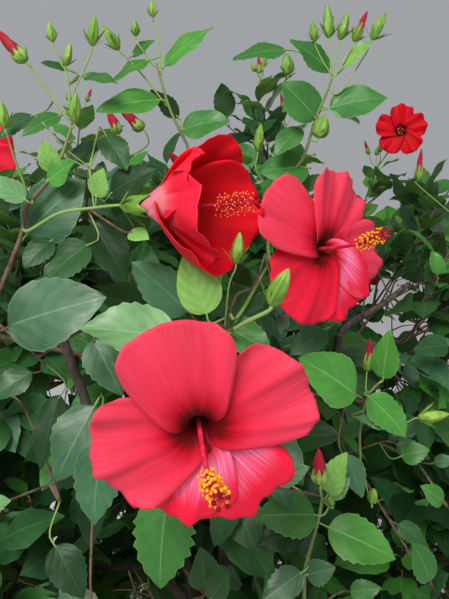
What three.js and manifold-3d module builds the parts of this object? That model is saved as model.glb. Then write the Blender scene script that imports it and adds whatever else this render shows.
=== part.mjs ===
// A garden hibiscus in flower: a short flared stem that forks low into boughs, three tiers of foliage
// round an open middle, leafy shoots above them, and five large red blooms on their stalks.
// Millimetres, +Z up. The origin is the middle of the flat cut under the stem, at ground level.
import * as THREE from "three";
import { mergeVertices } from "three/addons/utils/BufferGeometryUtils.js";
import Module from "manifold-3d";

const wasm = await Module();
wasm.setup();

// Driving dimensions
const STEM_RADIUS = 33;
const STEM_FLARE = 27;
const ROOT_BUTTRESSES = 5;
const FORK_HEIGHT = 190;
const CLEARANCE = 0.4;
const PETAL_REACH = 66;
const PETAL_THICKNESS = 3;
const COLUMN_LENGTH = 88;
const COLUMN_RADIUS = 3.2;
const ANTHER_RADIUS = 8.5;
const STALK_RADIUS = 2.6;

// How finely each kind of piece is faceted
const MASS_DETAIL = 2;
const SHOOT_DETAIL = 1;
const STEM_SIDES = 20;
const STEM_STEPS = 7;
const BOUGH_SIDES = 8;
const BOUGH_STEPS = 7;
const STALK_SIDES = 6;
const STALK_STEPS = 10;
const BLOOM_SEGMENTS = 15;

const up = new THREE.Vector3(0, 0, 1);
const vector = (x, y, z) => new THREE.Vector3(x, y, z);

// A point at a radius and a compass bearing round the middle of the plant.
function around(radius, degrees, height) {
  const turn = THREE.MathUtils.degToRad(degrees);
  return vector(radius * Math.cos(turn), radius * Math.sin(turn), height);
}

const colours = {
  bark: new THREE.MeshStandardMaterial({ color: 0x6b5848, roughness: 0.85, metalness: 0 }),
  foliage: new THREE.MeshStandardMaterial({ color: 0x2f6b2c, roughness: 0.5, metalness: 0 }),
  petals: new THREE.MeshStandardMaterial({ color: 0xdc1f38, roughness: 0.5, metalness: 0 }),
  stalk: new THREE.MeshStandardMaterial({ color: 0x6f9a3a, roughness: 0.5, metalness: 0 }),
};

const plant = new THREE.Group();
plant.name = "hibiscus_shrub";

// Adds one named sub-part to the plant.
function add(name, geometry, material) {
  const mesh = new THREE.Mesh(geometry, material);
  mesh.name = name;
  plant.add(mesh);
  return mesh;
}

// Only positions are left, and vertices that lie together are one.
function closed(geometry) {
  const bare = geometry.clone();
  bare.deleteAttribute("normal");
  bare.deleteAttribute("uv");
  return mergeVertices(bare, 1e-3);
}

function solidOf(geometry) {
  const merged = closed(geometry);
  const mesh = new wasm.Mesh({
    numProp: 3,
    vertProperties: merged.attributes.position.array,
    triVerts: new Uint32Array(merged.index.array),
  });
  return new wasm.Manifold(mesh);
}

function geometryOf(solid) {
  const mesh = solid.getMesh();
  const geometry = new THREE.BufferGeometry();
  geometry.setAttribute("position", new THREE.BufferAttribute(new Float32Array(mesh.vertProperties), 3));
  geometry.setIndex(new THREE.BufferAttribute(new Uint32Array(mesh.triVerts), 1));
  geometry.computeVertexNormals();
  return geometry;
}

// Takes the cutters out of a solid and keeps the largest piece that is left.
function cutBack(solid, cutters) {
  const rest = cutters.reduce((left, cutter) => left.subtract(cutter), solid);
  return rest.decompose().sort((a, b) => b.volume() - a.volume())[0];
}

// Moves every vertex of a geometry by a function of its place.
function reshaped(geometry, move) {
  const position = geometry.attributes.position;
  const point = new THREE.Vector3();
  for (let i = 0; i < position.count; i++) {
    point.fromBufferAttribute(position, i);
    move(point);
    position.setXYZ(i, point.x, point.y, point.z);
  }
  return geometry;
}

// One tapering limb: a closed cylinder bent along a smooth curve, with its radius a function of its length.
function limb(points, radiusAt, sides, steps) {
  const curve = new THREE.CatmullRomCurve3(points);
  const frames = curve.computeFrenetFrames(steps, false);
  const cylinder = closed(new THREE.CylinderGeometry(1, 1, 1, sides, steps));
  return reshaped(cylinder, (point) => {
    const along = point.y + 0.5;
    const step = Math.round(along * steps);
    const radius = radiusAt(along);
    const normal = frames.normals[step];
    const binormal = frames.binormals[step];
    const centre = curve.getPointAt(along);
    const across = point.x * radius;
    const aside = point.z * radius;
    point.copy(centre).addScaledVector(binormal, across).addScaledVector(normal, aside);
  });
}

// How far a mass of leaves reaches from its centre: an egg of three radii, made uneven by waves.
function reach(mass, direction) {
  const own = direction.clone().applyQuaternion(mass.turn.clone().invert());
  const egg = 1 / Math.hypot(own.x / mass.radii.x, own.y / mass.radii.y, own.z / mass.radii.z);
  const slow =
    Math.sin(3.1 * own.x + 2.3 * own.z + mass.seed) +
    Math.sin(4.3 * own.y - 2.9 * own.x + 2.1 * mass.seed) +
    Math.sin(5.2 * own.z + 3.7 * own.y + 3.3 * mass.seed);
  const quick = Math.sin(8.1 * own.x + 6.7 * own.y + mass.seed) * Math.sin(7.3 * own.z - 5.9 * own.x);
  return egg * (1 + 0.05 * slow + 0.06 * quick);
}

// A mass of leaves as a closed uneven solid. It stops half a clearance short of the plane that it
// shares with each neighbour, so masses meet face to face and never overlap.
function massGeometry(mass, all) {
  const walls = all
    .filter((other) => other !== mass)
    .map((other) => {
      const normal = other.centre.clone().sub(mass.centre);
      const distance = normal.length();
      normal.normalize();
      const mine = reach(mass, normal);
      const theirs = reach(other, normal.clone().negate());
      return { normal, limit: (distance * mine) / (mine + theirs) - CLEARANCE / 2 };
    });
  const detail = mass.tier === "shoot" ? SHOOT_DETAIL : MASS_DETAIL;
  const ball = closed(new THREE.IcosahedronGeometry(1, detail));
  return reshaped(ball, (point) => {
    const direction = point.clone().normalize();
    let radius = reach(mass, direction);
    for (const wall of walls) {
      const towards = direction.dot(wall.normal);
      if (towards > 0) radius = Math.min(radius, wall.limit / towards);
    }
    point.copy(mass.centre).addScaledVector(direction, radius);
  });
}

// The same mass a little larger, to cut a limb that runs into it.
function grown(mass, geometry) {
  return solidOf(
    reshaped(geometry.clone(), (point) => {
      const outward = point.clone().sub(mass.centre).normalize();
      point.addScaledVector(outward, 1.5 * CLEARANCE);
    }),
  );
}

// The three tiers of foliage, each a ring of upright masses that lean out over the one below.
const tiers = [
  { name: "lower", count: 6, height: 465, ring: 322, width: 212, tall: 1.08, lean: 38, first: 0 },
  { name: "middle", count: 6, height: 785, ring: 352, width: 218, tall: 1.16, lean: 26, first: 30 },
  { name: "upper", count: 5, height: 1085, ring: 285, width: 212, tall: 1.12, lean: 20, first: 54 },
];
const masses = [];
tiers.forEach((tier, level) => {
  for (let i = 0; i < tier.count; i++) {
    const seed = 1.7 * i + 2.9 * level;
    const wander = 16 * Math.sin(5 * seed);
    const width = tier.width * (1 + 0.06 * Math.cos(7 * seed));
    const bearing = tier.first + (360 * i) / tier.count + wander / 3;
    const lean = THREE.MathUtils.degToRad(tier.lean);
    masses.push({
      name: `foliage_${tier.name}_${i + 1}`,
      centre: around(tier.ring + wander, bearing, tier.height + wander),
      radii: vector(width, width, width * tier.tall),
      turn: new THREE.Quaternion().setFromUnitVectors(up, around(Math.sin(lean), bearing, Math.cos(lean))),
      seed,
      tier: tier.name,
      order: i,
    });
  }
});
masses.push({
  name: "foliage_top",
  centre: vector(20, 50, 1225),
  radii: vector(185, 185, 170),
  turn: new THREE.Quaternion(),
  seed: 4.2,
  tier: "leader",
  order: 0,
});

// Leafy shoots that stand above the tiers: where each starts, where its tip is and how far its leaves spread.
const shoots = [
  { name: "left", foot: vector(-178, -420, 1240), tip: vector(-135, -400, 1500), spread: 74 },
  { name: "centre", foot: vector(-30, -350, 1245), tip: vector(-68, -370, 1511), spread: 66 },
  { name: "right", foot: vector(112, -320, 1205), tip: vector(128, -325, 1512), spread: 76 },
  { name: "front", foot: vector(10, -446, 1165), tip: vector(14, -516, 1262), spread: 32 },
  { name: "far_right", foot: vector(300, 250, 1130), tip: vector(330, 345, 1395), spread: 68 },
  { name: "far_left", foot: vector(-245, 185, 1200), tip: vector(-300, 235, 1455), spread: 80 },
  { name: "back", foot: vector(130, 255, 1205), tip: vector(120, 335, 1468), spread: 78 },
  { name: "side", foot: vector(-330, -60, 1170), tip: vector(-400, -75, 1400), spread: 72 },
  { name: "middle", foot: vector(40, 60, 1290), tip: vector(60, 70, 1500), spread: 82 },
];
shoots.forEach((shoot, i) => {
  const along = shoot.tip.clone().sub(shoot.foot);
  masses.push({
    name: `shoot_${shoot.name}`,
    centre: shoot.foot.clone().addScaledVector(along, 0.5),
    radii: vector(shoot.spread, shoot.spread, along.length() / 2),
    turn: new THREE.Quaternion().setFromUnitVectors(up, along.normalize()),
    seed: 0.9 * i,
    tier: "shoot",
    order: i,
  });
});
const massNamed = (name) => masses.find((mass) => mass.name === name);

const foliage = masses.map((mass) => {
  const geometry = massGeometry(mass, masses);
  add(mass.name, geometry, colours.foliage);
  return { mass, cutter: grown(mass, geometry) };
});
const foliageCutters = foliage.map((entry) => entry.cutter);

// The stem leans a little, and its foot swells into root buttresses. Its cut end lies flat on the ground.
const stemLine = [vector(0, 0, 0), vector(3, -2, 70), vector(8, -3, 130), vector(12, 0, FORK_HEIGHT)];
const FOOT_LEVEL = 10;
function stemGeometry(extra) {
  const taper = (along) => STEM_RADIUS * (1 - 0.12 * along) + STEM_FLARE * Math.exp(-7 * along) + extra;
  const geometry = limb(stemLine, taper, STEM_SIDES, STEM_STEPS);
  return reshaped(geometry, (point) => {
    const angle = Math.atan2(point.y, point.x);
    const swell = 1 + 0.16 * Math.exp(-point.z / 35) * Math.cos(ROOT_BUTTRESSES * angle);
    point.set(point.x * swell, point.y * swell, point.z < FOOT_LEVEL ? 0 : point.z);
  });
}
add("stem", stemGeometry(0), colours.bark);
const limbCutters = [solidOf(stemGeometry(CLEARANCE))];

// Boughs rise from the fork through the open middle and end where they enter their mass. Those of the
// upper tier branch from the leader, one above the other.
const forkCentre = 12;
const crownCentre = massNamed("foliage_top").centre;
const leaderLine = [vector(forkCentre, 0, 150), vector(16, 6, 420), vector(-4, 16, 780), crownCentre];
const leaderCurve = new THREE.CatmullRomCurve3(leaderLine);
function boughLine(mass) {
  const bearing = THREE.MathUtils.radToDeg(Math.atan2(mass.centre.y, mass.centre.x));
  const out = (radius, height) => around(radius, bearing, height).add(vector(forkCentre, 0, 0));
  if (mass.tier === "leader") return leaderLine;
  if (mass.tier === "lower") return [out(8, 120), out(48, 200), out(120, 330), mass.centre];
  if (mass.tier === "middle") return [out(4, 140), out(38, 250), out(78, 560), out(150, 700), mass.centre];
  const branching = leaderCurve.getPointAt(0.44 + 0.05 * mass.order);
  const elbow = branching.clone().lerp(mass.centre, 0.3).add(vector(0, 0, 50));
  return [branching, elbow, mass.centre];
}
const girth = {
  leader: { foot: 16, tip: 7 },
  middle: { foot: 16, tip: 7 },
  upper: { foot: 9, tip: 5 },
  lower: { foot: 11, tip: 5 },
};
const boughOrder = ["lower", "middle", "leader", "upper"];
boughOrder.forEach((tier) => {
  const { foot, tip } = girth[tier];
  const taper = (extra) => (along) => foot + (tip - foot) * along + extra;
  for (const mass of masses.filter((each) => each.tier === tier)) {
    const line = boughLine(mass);
    const whole = solidOf(limb(line, taper(0), BOUGH_SIDES, BOUGH_STEPS));
    const piece = cutBack(whole, [...limbCutters, ...foliageCutters]);
    limbCutters.push(solidOf(limb(line, taper(CLEARANCE), BOUGH_SIDES, BOUGH_STEPS)));
    add(mass.name.replace("foliage", "bough"), geometryOf(piece), colours.bark);
  }
});

// A bloom: five lobes round a funnel, with the long column of stamens standing out of its throat.
// openness is 1 where the petals lie flat and less where they still form a funnel.
function bloomGeometry(openness, size) {
  const rimHeight = 62 - 34 * openness;
  const rimRadius = PETAL_REACH * (0.78 + 0.22 * openness);
  const tubeHeight = 14;
  const waistHeight = tubeHeight + 0.62 * (rimHeight - tubeHeight);
  const outline = [
    [0, 0],
    [6, 1],
    [8, tubeHeight],
    [0.4 * rimRadius, waistHeight],
    [rimRadius, rimHeight],
    [rimRadius, rimHeight + PETAL_THICKNESS],
    [0.4 * rimRadius, waistHeight + 1.5 * PETAL_THICKNESS],
    [6, tubeHeight + 5],
    [COLUMN_RADIUS, tubeHeight + 10],
    [COLUMN_RADIUS, 0.66 * COLUMN_LENGTH],
    [ANTHER_RADIUS, 0.76 * COLUMN_LENGTH],
    [ANTHER_RADIUS, 0.92 * COLUMN_LENGTH],
    [0, COLUMN_LENGTH],
  ];
  const profile = outline.map(([radius, height]) => new THREE.Vector2(radius, height));
  const geometry = closed(new THREE.LatheGeometry(profile, BLOOM_SEGMENTS));
  return reshaped(geometry, (point) => {
    const radius = Math.hypot(point.x, point.z);
    const angle = Math.atan2(point.z, point.x);
    const share = radius > 12 ? radius / rimRadius : 0;
    const lobe = size * (1 + 0.09 * share * Math.cos(5 * angle));
    point.set(point.x * lobe, (point.y + 3 * share * Math.sin(5 * angle)) * size, point.z * lobe);
  });
}

// Where each bloom's base is, which way it faces, how open and how large it is, and the places that its
// stalk passes on the way to the leaves that it grows from.
const blooms = [
  {
    name: "front",
    base: vector(-16, -600, 1190),
    faces: vector(0.12, -0.975, -0.16),
    openness: 0.95,
    size: 1,
    via: [vector(-22, -560, 1192)],
    root: vector(-30, -440, 1150),
  },
  {
    name: "top",
    base: vector(-69, -485, 1324),
    faces: vector(0.93, -0.365, 0.016),
    openness: 0.35,
    size: 1,
    via: [vector(-92, -476, 1324), vector(-130, -462, 1317)],
    root: vector(-172, -425, 1285),
  },
  {
    name: "right",
    base: vector(80, -422, 1284),
    faces: vector(0.62, -0.733, 0.279),
    openness: 1,
    size: 1,
    via: [vector(68, -412, 1279), vector(46, -430, 1276)],
    root: vector(12, -490, 1235),
  },
  {
    name: "far",
    base: vector(350, 253, 1427),
    faces: vector(-0.15, -0.98, 0.13),
    openness: 0.9,
    size: 0.8,
    via: [vector(352, 285, 1418)],
    root: massNamed("shoot_far_right").centre,
  },
  {
    name: "left",
    base: vector(-340, -150, 1375),
    faces: vector(0.3, -0.949, 0.1),
    openness: 0.9,
    size: 0.85,
    via: [vector(-346, -130, 1370)],
    root: massNamed("shoot_side").centre,
  },
];
for (const bloom of blooms) {
  const faces = bloom.faces.clone().normalize();
  const geometry = bloomGeometry(bloom.openness, bloom.size);
  geometry.applyQuaternion(new THREE.Quaternion().setFromUnitVectors(vector(0, 1, 0), faces));
  geometry.translate(bloom.base.x, bloom.base.y, bloom.base.z);
  add(`bloom_${bloom.name}`, geometry, colours.petals);

  const start = bloom.base.clone().addScaledVector(faces, -CLEARANCE);
  const thickening = (along) => STALK_RADIUS * (1 + 0.4 * along);
  const whole = solidOf(limb([start, ...bloom.via, bloom.root], thickening, STALK_SIDES, STALK_STEPS));
  add(`stalk_${bloom.name}`, geometryOf(cutBack(whole, foliageCutters)), colours.stalk);
}

export default plant;
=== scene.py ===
"""A garden hibiscus in flower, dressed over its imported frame.

The plant is built as it grows. Bark goes over the stem and boughs, twigs branch on from the ends of the
boughs through each mass of foliage, leaves stand on the twigs, and shoots with buds and large red blooms
rise above them. Lengths are metres, +Z is up, and the origin is the cut under the stem.
"""

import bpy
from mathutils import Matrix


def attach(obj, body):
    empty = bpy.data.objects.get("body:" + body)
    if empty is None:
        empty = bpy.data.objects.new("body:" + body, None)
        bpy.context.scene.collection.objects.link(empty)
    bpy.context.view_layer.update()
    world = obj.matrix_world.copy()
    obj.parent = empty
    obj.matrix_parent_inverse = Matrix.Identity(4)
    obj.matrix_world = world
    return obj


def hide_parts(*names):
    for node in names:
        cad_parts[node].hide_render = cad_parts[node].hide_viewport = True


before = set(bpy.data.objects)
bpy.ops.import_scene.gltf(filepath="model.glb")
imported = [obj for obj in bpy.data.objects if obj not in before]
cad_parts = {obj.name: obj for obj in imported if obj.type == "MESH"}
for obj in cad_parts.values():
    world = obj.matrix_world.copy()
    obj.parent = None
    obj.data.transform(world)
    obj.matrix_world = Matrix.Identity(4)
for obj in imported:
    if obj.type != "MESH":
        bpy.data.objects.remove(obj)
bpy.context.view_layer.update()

import logging
import math
import random
from dataclasses import dataclass, field
from enum import Enum
from functools import lru_cache
from typing import Callable, Sequence

import bmesh
import bpy
import numpy as np
from mathutils import Matrix, Vector, noise
from mathutils.bvhtree import BVHTree
from mathutils.kdtree import KDTree

logging.basicConfig(level=logging.INFO, format="%(message)s")
log = logging.getLogger("hibiscus")

BODY = "root"
UP = Vector((0.0, 0.0, 1.0))
GOLDEN_TURN = math.radians(137.5)
WELD = 1e-5
Span = tuple[float, float]
Tint = tuple[float, float, float]
Pixel = tuple[float, float]
Station = tuple[float, float, float]
Socket = bpy.types.NodeSocket


def smoothstep(low: float, high: float, value: float) -> float:
    """Eases from 0 at low to 1 at high."""
    share = min(1.0, max(0.0, (value - low) / (high - low)))
    return share * share * (3.0 - 2.0 * share)


def across(vector: Vector, axis: Vector) -> Vector:
    """The part of a vector that stands square to an axis, at length 1."""
    part = vector - axis * vector.dot(axis)
    return part.normalized() if part.length > 1e-6 else axis.orthogonal().normalized()


def round_way(way: Vector, angle: float) -> Vector:
    """A direction square to a way, turned round it by an angle."""
    return Matrix.Rotation(angle, 3, way) @ way.orthogonal().normalized()


def mean_of(points: Sequence[Vector]) -> Vector:
    """The middle of some points."""
    return sum(points, Vector()) / len(points)


def smooth_line(stations: Sequence[Vector], steps: int) -> list[Vector]:
    """Runs a smooth curve through some places.

    Args:
        stations: the places, two or more.
        steps: how many even steps the curve is given in.

    Returns:
        The points of the curve, one more than the steps.
    """
    knots = [stations[0] * 2 - stations[1], *stations, stations[-1] * 2 - stations[-2]]
    fine = []
    for before, start, end, after in zip(knots, knots[1:], knots[2:], knots[3:]):
        for t in (0.0, 0.125, 0.25, 0.375, 0.5, 0.625, 0.75, 0.875):
            bend = before * 2 - start * 5 + end * 4 - after
            turn = start * 3 - before - end * 3 + after
            fine.append((start * 2 + (end - before) * t + bend * t * t + turn * t**3) / 2)
    fine.append(stations[-1].copy())
    places = np.array(fine)
    run = np.concatenate([[0.0], np.cumsum(np.linalg.norm(np.diff(places, axis=0), axis=1))])
    wanted = np.linspace(0.0, run[-1], steps + 1)
    return [Vector(row) for row in np.stack([np.interp(wanted, run, places[:, i]) for i in range(3)], axis=1)]


def length_of(line: Sequence[Vector]) -> float:
    """The length of a run of points."""
    return sum((b - a).length for a, b in zip(line, line[1:]))


def along_line(line: Sequence[Vector], share: float) -> tuple[Vector, Vector]:
    """Finds a place on a run of even steps.

    Args:
        line: the points.
        share: how far along it the place is, from 0 to 1.

    Returns:
        The place and the way the line runs there.
    """
    position = min(max(share, 0.0), 1.0) * (len(line) - 1)
    step = min(int(position), len(line) - 2)
    return line[step].lerp(line[step + 1], position - step), (line[step + 1] - line[step]).normalized()


def last_way(line: Sequence[Vector]) -> Vector:
    """The way a line runs at its end."""
    return (line[-1] - line[-2]).normalized()


def carried_frames(line: Sequence[Vector]) -> tuple[np.ndarray, np.ndarray]:
    """Carries a pair of cross directions along a line without twisting them.

    Args:
        line: the points.

    Returns:
        The first and the second direction at each point.
    """
    ways = [(b - a).normalized() for a, b in zip(line, line[1:])]
    ways.append(ways[-1])
    first = ways[0].orthogonal().normalized()
    normals, seconds = [], []
    for way in ways:
        first = across(first, way)
        normals.append(first)
        seconds.append(way.cross(first))
    return np.array(normals), np.array(seconds)


def jitter(chance: random.Random, size: float) -> Vector:
    """A small random offset."""
    return Vector((chance.gauss(0, size), chance.gauss(0, size), chance.gauss(0, size)))


def into_scene(name: str, data: bpy.types.ID) -> bpy.types.Object:
    """Puts a mesh, light or camera in the scene.

    Args:
        name: the object's name.
        data: the mesh, light or camera.

    Returns:
        The object.
    """
    made = bpy.data.objects.new(name, data)
    bpy.context.scene.collection.objects.link(made)
    return made


def mesh_of(shape: bmesh.types.BMesh, name: str, material: bpy.types.Material) -> bpy.types.Mesh:
    """Turns a bmesh into a mesh and frees it.

    Args:
        shape: the bmesh.
        name: the mesh's name.
        material: what it is made of.

    Returns:
        The mesh.
    """
    mesh = bpy.data.meshes.new(name)
    shape.to_mesh(mesh)
    shape.free()
    mesh.materials.append(material)
    return mesh


@dataclass(frozen=True)
class Lens:
    """The camera, held close in front of the shrub and tipped down a little."""

    eye: Station = (0.0, -0.970, 1.350)
    pitch: float = math.radians(-12.0)
    long_side: float = 599.0
    centre_px: Pixel = (224.5, 299.5)
    millimetres: float = 36.0
    nearest: float = 0.02
    seen_across: Span = (-60.0, 510.0)
    seen_down: Span = (-60.0, 660.0)

    @property
    def forward(self) -> Vector:
        """Where it looks."""
        return Vector((0.0, math.cos(self.pitch), math.sin(self.pitch)))

    @property
    def upward(self) -> Vector:
        """The picture's upward way."""
        return Vector((0.0, -math.sin(self.pitch), math.cos(self.pitch)))

    def at(self, px: float, py: float, depth: float) -> Vector:
        """Finds a place from its pixel in the picture.

        Args:
            px: pixels from the picture's left side.
            py: pixels from the picture's top.
            depth: metres from the lens, along its axis.

        Returns:
            The place in the plant's frame.
        """
        right = (px - self.centre_px[0]) / self.long_side
        down = (py - self.centre_px[1]) / self.long_side
        return Vector(self.eye) + (self.forward + Vector((right, 0.0, 0.0)) - self.upward * down) * depth

    def seen(self, place: Vector) -> tuple[float, float, float]:
        """Finds where a place shows.

        Args:
            place: a place in the plant's frame.

        Returns:
            The pixel from the left, the pixel from the top and the depth.
        """
        offset = place - Vector(self.eye)
        depth = max(offset.dot(self.forward), 1e-4)
        px = self.centre_px[0] + self.long_side * offset.x / depth
        return px, self.centre_px[1] - self.long_side * offset.dot(self.upward) / depth, depth

    def holds(self, px: float, py: float) -> bool:
        """Whether a pixel is in the picture or a little outside it."""
        (left, right), (top, foot) = self.seen_across, self.seen_down
        return left < px < right and top < py < foot

    def shows(self, place: Vector) -> bool:
        """Whether the picture would show a place on the plant's front half."""
        px, py, depth = self.seen(place)
        return depth > 0.05 and self.holds(px, py) and place.y < 0.1

    def mount(self) -> None:
        """Puts the camera in the scene."""
        camera = bpy.data.cameras.new("lens")
        camera.lens = camera.sensor_width = self.millimetres
        camera.clip_start = self.nearest
        holder = into_scene("lens", camera)
        holder.location = self.eye
        holder.rotation_euler = (math.pi / 2 + self.pitch, 0.0, 0.0)
        bpy.context.scene.camera = holder


LENS = Lens()
KINDS = {
    **dict.fromkeys(("Map", "Place"), "NodeSocketVector"),
    **dict.fromkeys(("Streaks", "Depth", "Scale", "Roughness", "Height"), "NodeSocketFloat"),
}


class Wiring:
    """Builds the nodes of one tree, a call for each."""

    def __init__(self, tree: bpy.types.NodeTree) -> None:
        """Starts on a tree."""
        self.tree = tree

    def node(self, kind: str, **settings: object) -> bpy.types.Node:
        """Adds a node.

        Args:
            kind: the node's type.
            settings: its properties by name.

        Returns:
            The new node.
        """
        made = self.tree.nodes.new(kind)
        for name, value in settings.items():
            setattr(made, name, value)
        return made

    def feed(self, node: bpy.types.Node, values: dict) -> bpy.types.Node:
        """Gives a node's inputs what they read or hold.

        Args:
            node: the node.
            values: a socket, number or tint for each input, by its name or order.

        Returns:
            The node.
        """
        for label, value in values.items():
            socket = node.inputs[label]
            if isinstance(value, Socket):
                self.tree.links.new(value, socket)
            else:
                socket.default_value = (*value, 1.0) if socket.type == "RGBA" else value
        return node

    @property
    def shader(self) -> bpy.types.Node:
        """The shader of a material's tree."""
        return self.tree.nodes["Principled BSDF"]

    def shade(self, values: dict) -> None:
        """Gives the shader's inputs what they read or hold."""
        self.feed(self.shader, values)

    def split(self, place: Socket) -> Sequence[Socket]:
        """The three parts of some coordinates."""
        return self.feed(self.node("ShaderNodeSeparateXYZ"), {0: place}).outputs

    def maths(self, operation: str, *values: object, clamp: bool = False) -> Socket:
        """The result of a sum, which a clamp keeps within 0 and 1."""
        made = self.node("ShaderNodeMath", operation=operation, use_clamp=clamp)
        return self.feed(made, dict(enumerate(values))).outputs[0]

    def ease(self, value: object, low: float, high: float, start: float = 0.0, end: float = 1.0) -> Socket:
        """A value eased from start, where it is low or less, to end, where it is high or more."""
        made = self.node("ShaderNodeMapRange", interpolation_type="SMOOTHSTEP")
        return self.feed(made, dict(enumerate((value, low, high, start, end)))).outputs[0]

    def blend(self, share: object, first: object, second: object, how: str = "MIX") -> Socket:
        """The mix of two colours, with a share of the second."""
        made = self.node("ShaderNodeMix", data_type="RGBA", blend_type=how)
        return self.feed(made, {0: share, 6: first, 7: second}).outputs[2]

    def grain(self, place: Socket, scale: float, detail: float = 2.0, rough: float = 0.5) -> Socket:
        """A noise over some coordinates, with finer layers by its detail."""
        values = {"Vector": place, "Scale": scale, "Detail": detail, "Roughness": rough}
        return self.feed(self.node("ShaderNodeTexNoise"), values).outputs["Fac"]

    def stretched(self, place: Socket, scale: tuple[float, float, float]) -> Socket:
        """Coordinates stretched by a Mapping node."""
        return self.feed(self.node("ShaderNodeMapping"), {"Vector": place, "Scale": scale}).outputs[0]


@lru_cache(maxsize=None)
def pattern(maker: Callable) -> bpy.types.NodeTree:
    """Builds a shader node group once, and hands out the same one after that.

    Args:
        maker: fills the group, given its wiring and its inputs, and returns its outputs.

    Returns:
        The node group.
    """
    group = bpy.data.node_groups.new(maker.__name__.replace("_", " "), "ShaderNodeTree")
    for side, labels in (("INPUT", maker.inputs), ("OUTPUT", maker.outputs)):
        for label in labels:
            kind = KINDS.get(label, "NodeSocketColor")
            group.interface.new_socket(name=label, in_out=side, socket_type=kind)
    wiring = Wiring(group)
    entry = wiring.node("NodeGroupInput")
    leaving = wiring.node("NodeGroupOutput")
    wiring.feed(leaving, maker(wiring, entry.outputs))
    return group


def sockets(inputs: str, outputs: str) -> Callable:
    """Names a pattern's sockets.

    Args:
        inputs: what it reads, in one line.
        outputs: what it puts out, in one line.

    Returns:
        The decorator for the pattern's maker.
    """

    def named(maker: Callable) -> Callable:
        """Notes the sockets on the maker and returns it."""
        maker.inputs, maker.outputs = inputs.split(), outputs.split()
        return maker

    return named


@sockets("Map Place Blade Vein", "Color Roughness Height")
def leaf_veins(wiring: Wiring, entry: Sequence[Socket]) -> dict[str, Socket]:
    """Veins, mottling, a painted sheen and the quilting's painted shade and highlight on a leaf's own map,
    where u runs across it and v from foot to tip.

    Args:
        wiring: builds the group.
        entry: what the group reads.

    Returns:
        What it puts out.
    """
    ease, maths, grain = wiring.ease, wiring.maths, wiring.grain
    u, v, _ = wiring.split(entry["Map"])
    side = maths("ABSOLUTE", maths("MULTIPLY_ADD", u, 2.0, -1.0))
    swept = maths("SUBTRACT", v, maths("MULTIPLY", side, 0.40))
    beat = maths("FRACT", maths("MULTIPLY_ADD", swept, 4.8, 3.4))
    from_vein = maths("MULTIPLY", maths("ABSOLUTE", maths("SUBTRACT", beat, 0.5)), 2.0)
    midrib_or_rim = maths("MAXIMUM", ease(side, 0.008, 0.045, 0.9, 0.0), ease(side, 0.93, 0.99, 0.0, 0.55))
    veins = maths("MAXIMUM", midrib_or_rim, ease(from_vein, 0.02, 0.10, 0.30, 0.0))
    mottle = grain(entry["Place"], 60.0, 3.0, 0.6)
    spray = grain(entry["Place"], 9.0, 1.0)
    # Broad patches that lighten the blade: a painted sheen.
    patches = grain(entry["Place"], 26.0, 2.0, 0.5)
    tone = maths("ADD", ease(mottle, 0.3, 0.7, 0.86, 1.04), ease(spray, 0.35, 0.65, -0.16, 0.16))
    tone = maths("ADD", tone, ease(patches, 0.36, 0.66, -0.05, 0.12))
    # Darker in the furrows beside the veins and lighter on the pillows between them: the quilting's painted
    # shade and painted highlight.
    tone = maths("ADD", tone, ease(from_vein, 0.08, 0.8, -0.10, 0.08))
    grey = wiring.feed(wiring.node("ShaderNodeCombineColor"), {0: tone, 1: tone, 2: tone})
    toned = wiring.blend(1.0, entry["Blade"], grey.outputs[0], "MULTIPLY")
    pillow = maths("MULTIPLY", maths("POWER", from_vein, 0.6), ease(side, 0.0, 0.16))
    return {
        "Color": wiring.blend(veins, toned, entry["Vein"]),
        "Roughness": ease(mottle, 0.3, 0.7, 0.36, 0.52),
        "Height": maths("MULTIPLY_ADD", mottle, 0.25, pillow),
    }


@sockets("Map Throat Flush Body Rim Streak Streaks Depth", "Color Height")
def petal_veins(wiring: Wiring, entry: Sequence[Socket]) -> dict[str, Socket]:
    """A petal's dark throat, fanning veins and a painted pink sheen in fine pale lines close to the throat, on
    its own map.

    Args:
        wiring: builds the group.
        entry: what the group reads.

    Returns:
        What it puts out.
    """
    ease, maths, blend = wiring.ease, wiring.maths, wiring.blend
    along = wiring.split(entry["Map"])[1]
    fibres = wiring.grain(wiring.stretched(entry["Map"], (17.0, 1.0, 1.0)), 1.0, 3.0, 0.5)
    threads = wiring.grain(wiring.stretched(entry["Map"], (80.0, 2.6, 1.0)), 1.0, 2.0)
    torn = maths("ADD", along, ease(fibres, 0.3, 0.7, -0.022, 0.022))
    ragged = maths("DIVIDE", torn, entry["Depth"])
    body = blend(ease(along, 0.35, 1.0), entry["Body"], entry["Rim"])
    # Darker along the fibres: a vein pattern of the petal.
    fibred = blend(ease(fibres, 0.42, 0.66, 0.0, 0.14), body, entry["Body"], "MULTIPLY")
    lined = blend(ease(threads, 0.48, 0.64, 0.0, 0.20), fibred, entry["Body"], "MULTIPLY")
    # Fine pale pink lines in a band part way out from the throat: a painted sheen of the sky.
    sheen_band = maths("MULTIPLY", ease(along, 0.34, 0.42), ease(along, 0.52, 0.88, 1.0, 0.0))
    lines = wiring.grain(wiring.stretched(entry["Map"], (38.0, 1.2, 1.0)), 1.0, 2.0)
    streak = maths("MULTIPLY", ease(lines, 0.46, 0.62, 0.46, 1.0), sheen_band)
    sheened = blend(maths("MULTIPLY", streak, entry["Streaks"], clamp=True), lined, entry["Streak"])
    flushed = blend(ease(ragged, 0.36, 0.56, 1.0, 0.0), sheened, entry["Flush"])
    return {
        "Color": blend(ease(ragged, 0.31, 0.42, 1.0, 0.0), flushed, entry["Throat"]),
        "Height": maths("MULTIPLY_ADD", threads, 0.4, fibres),
    }


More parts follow.
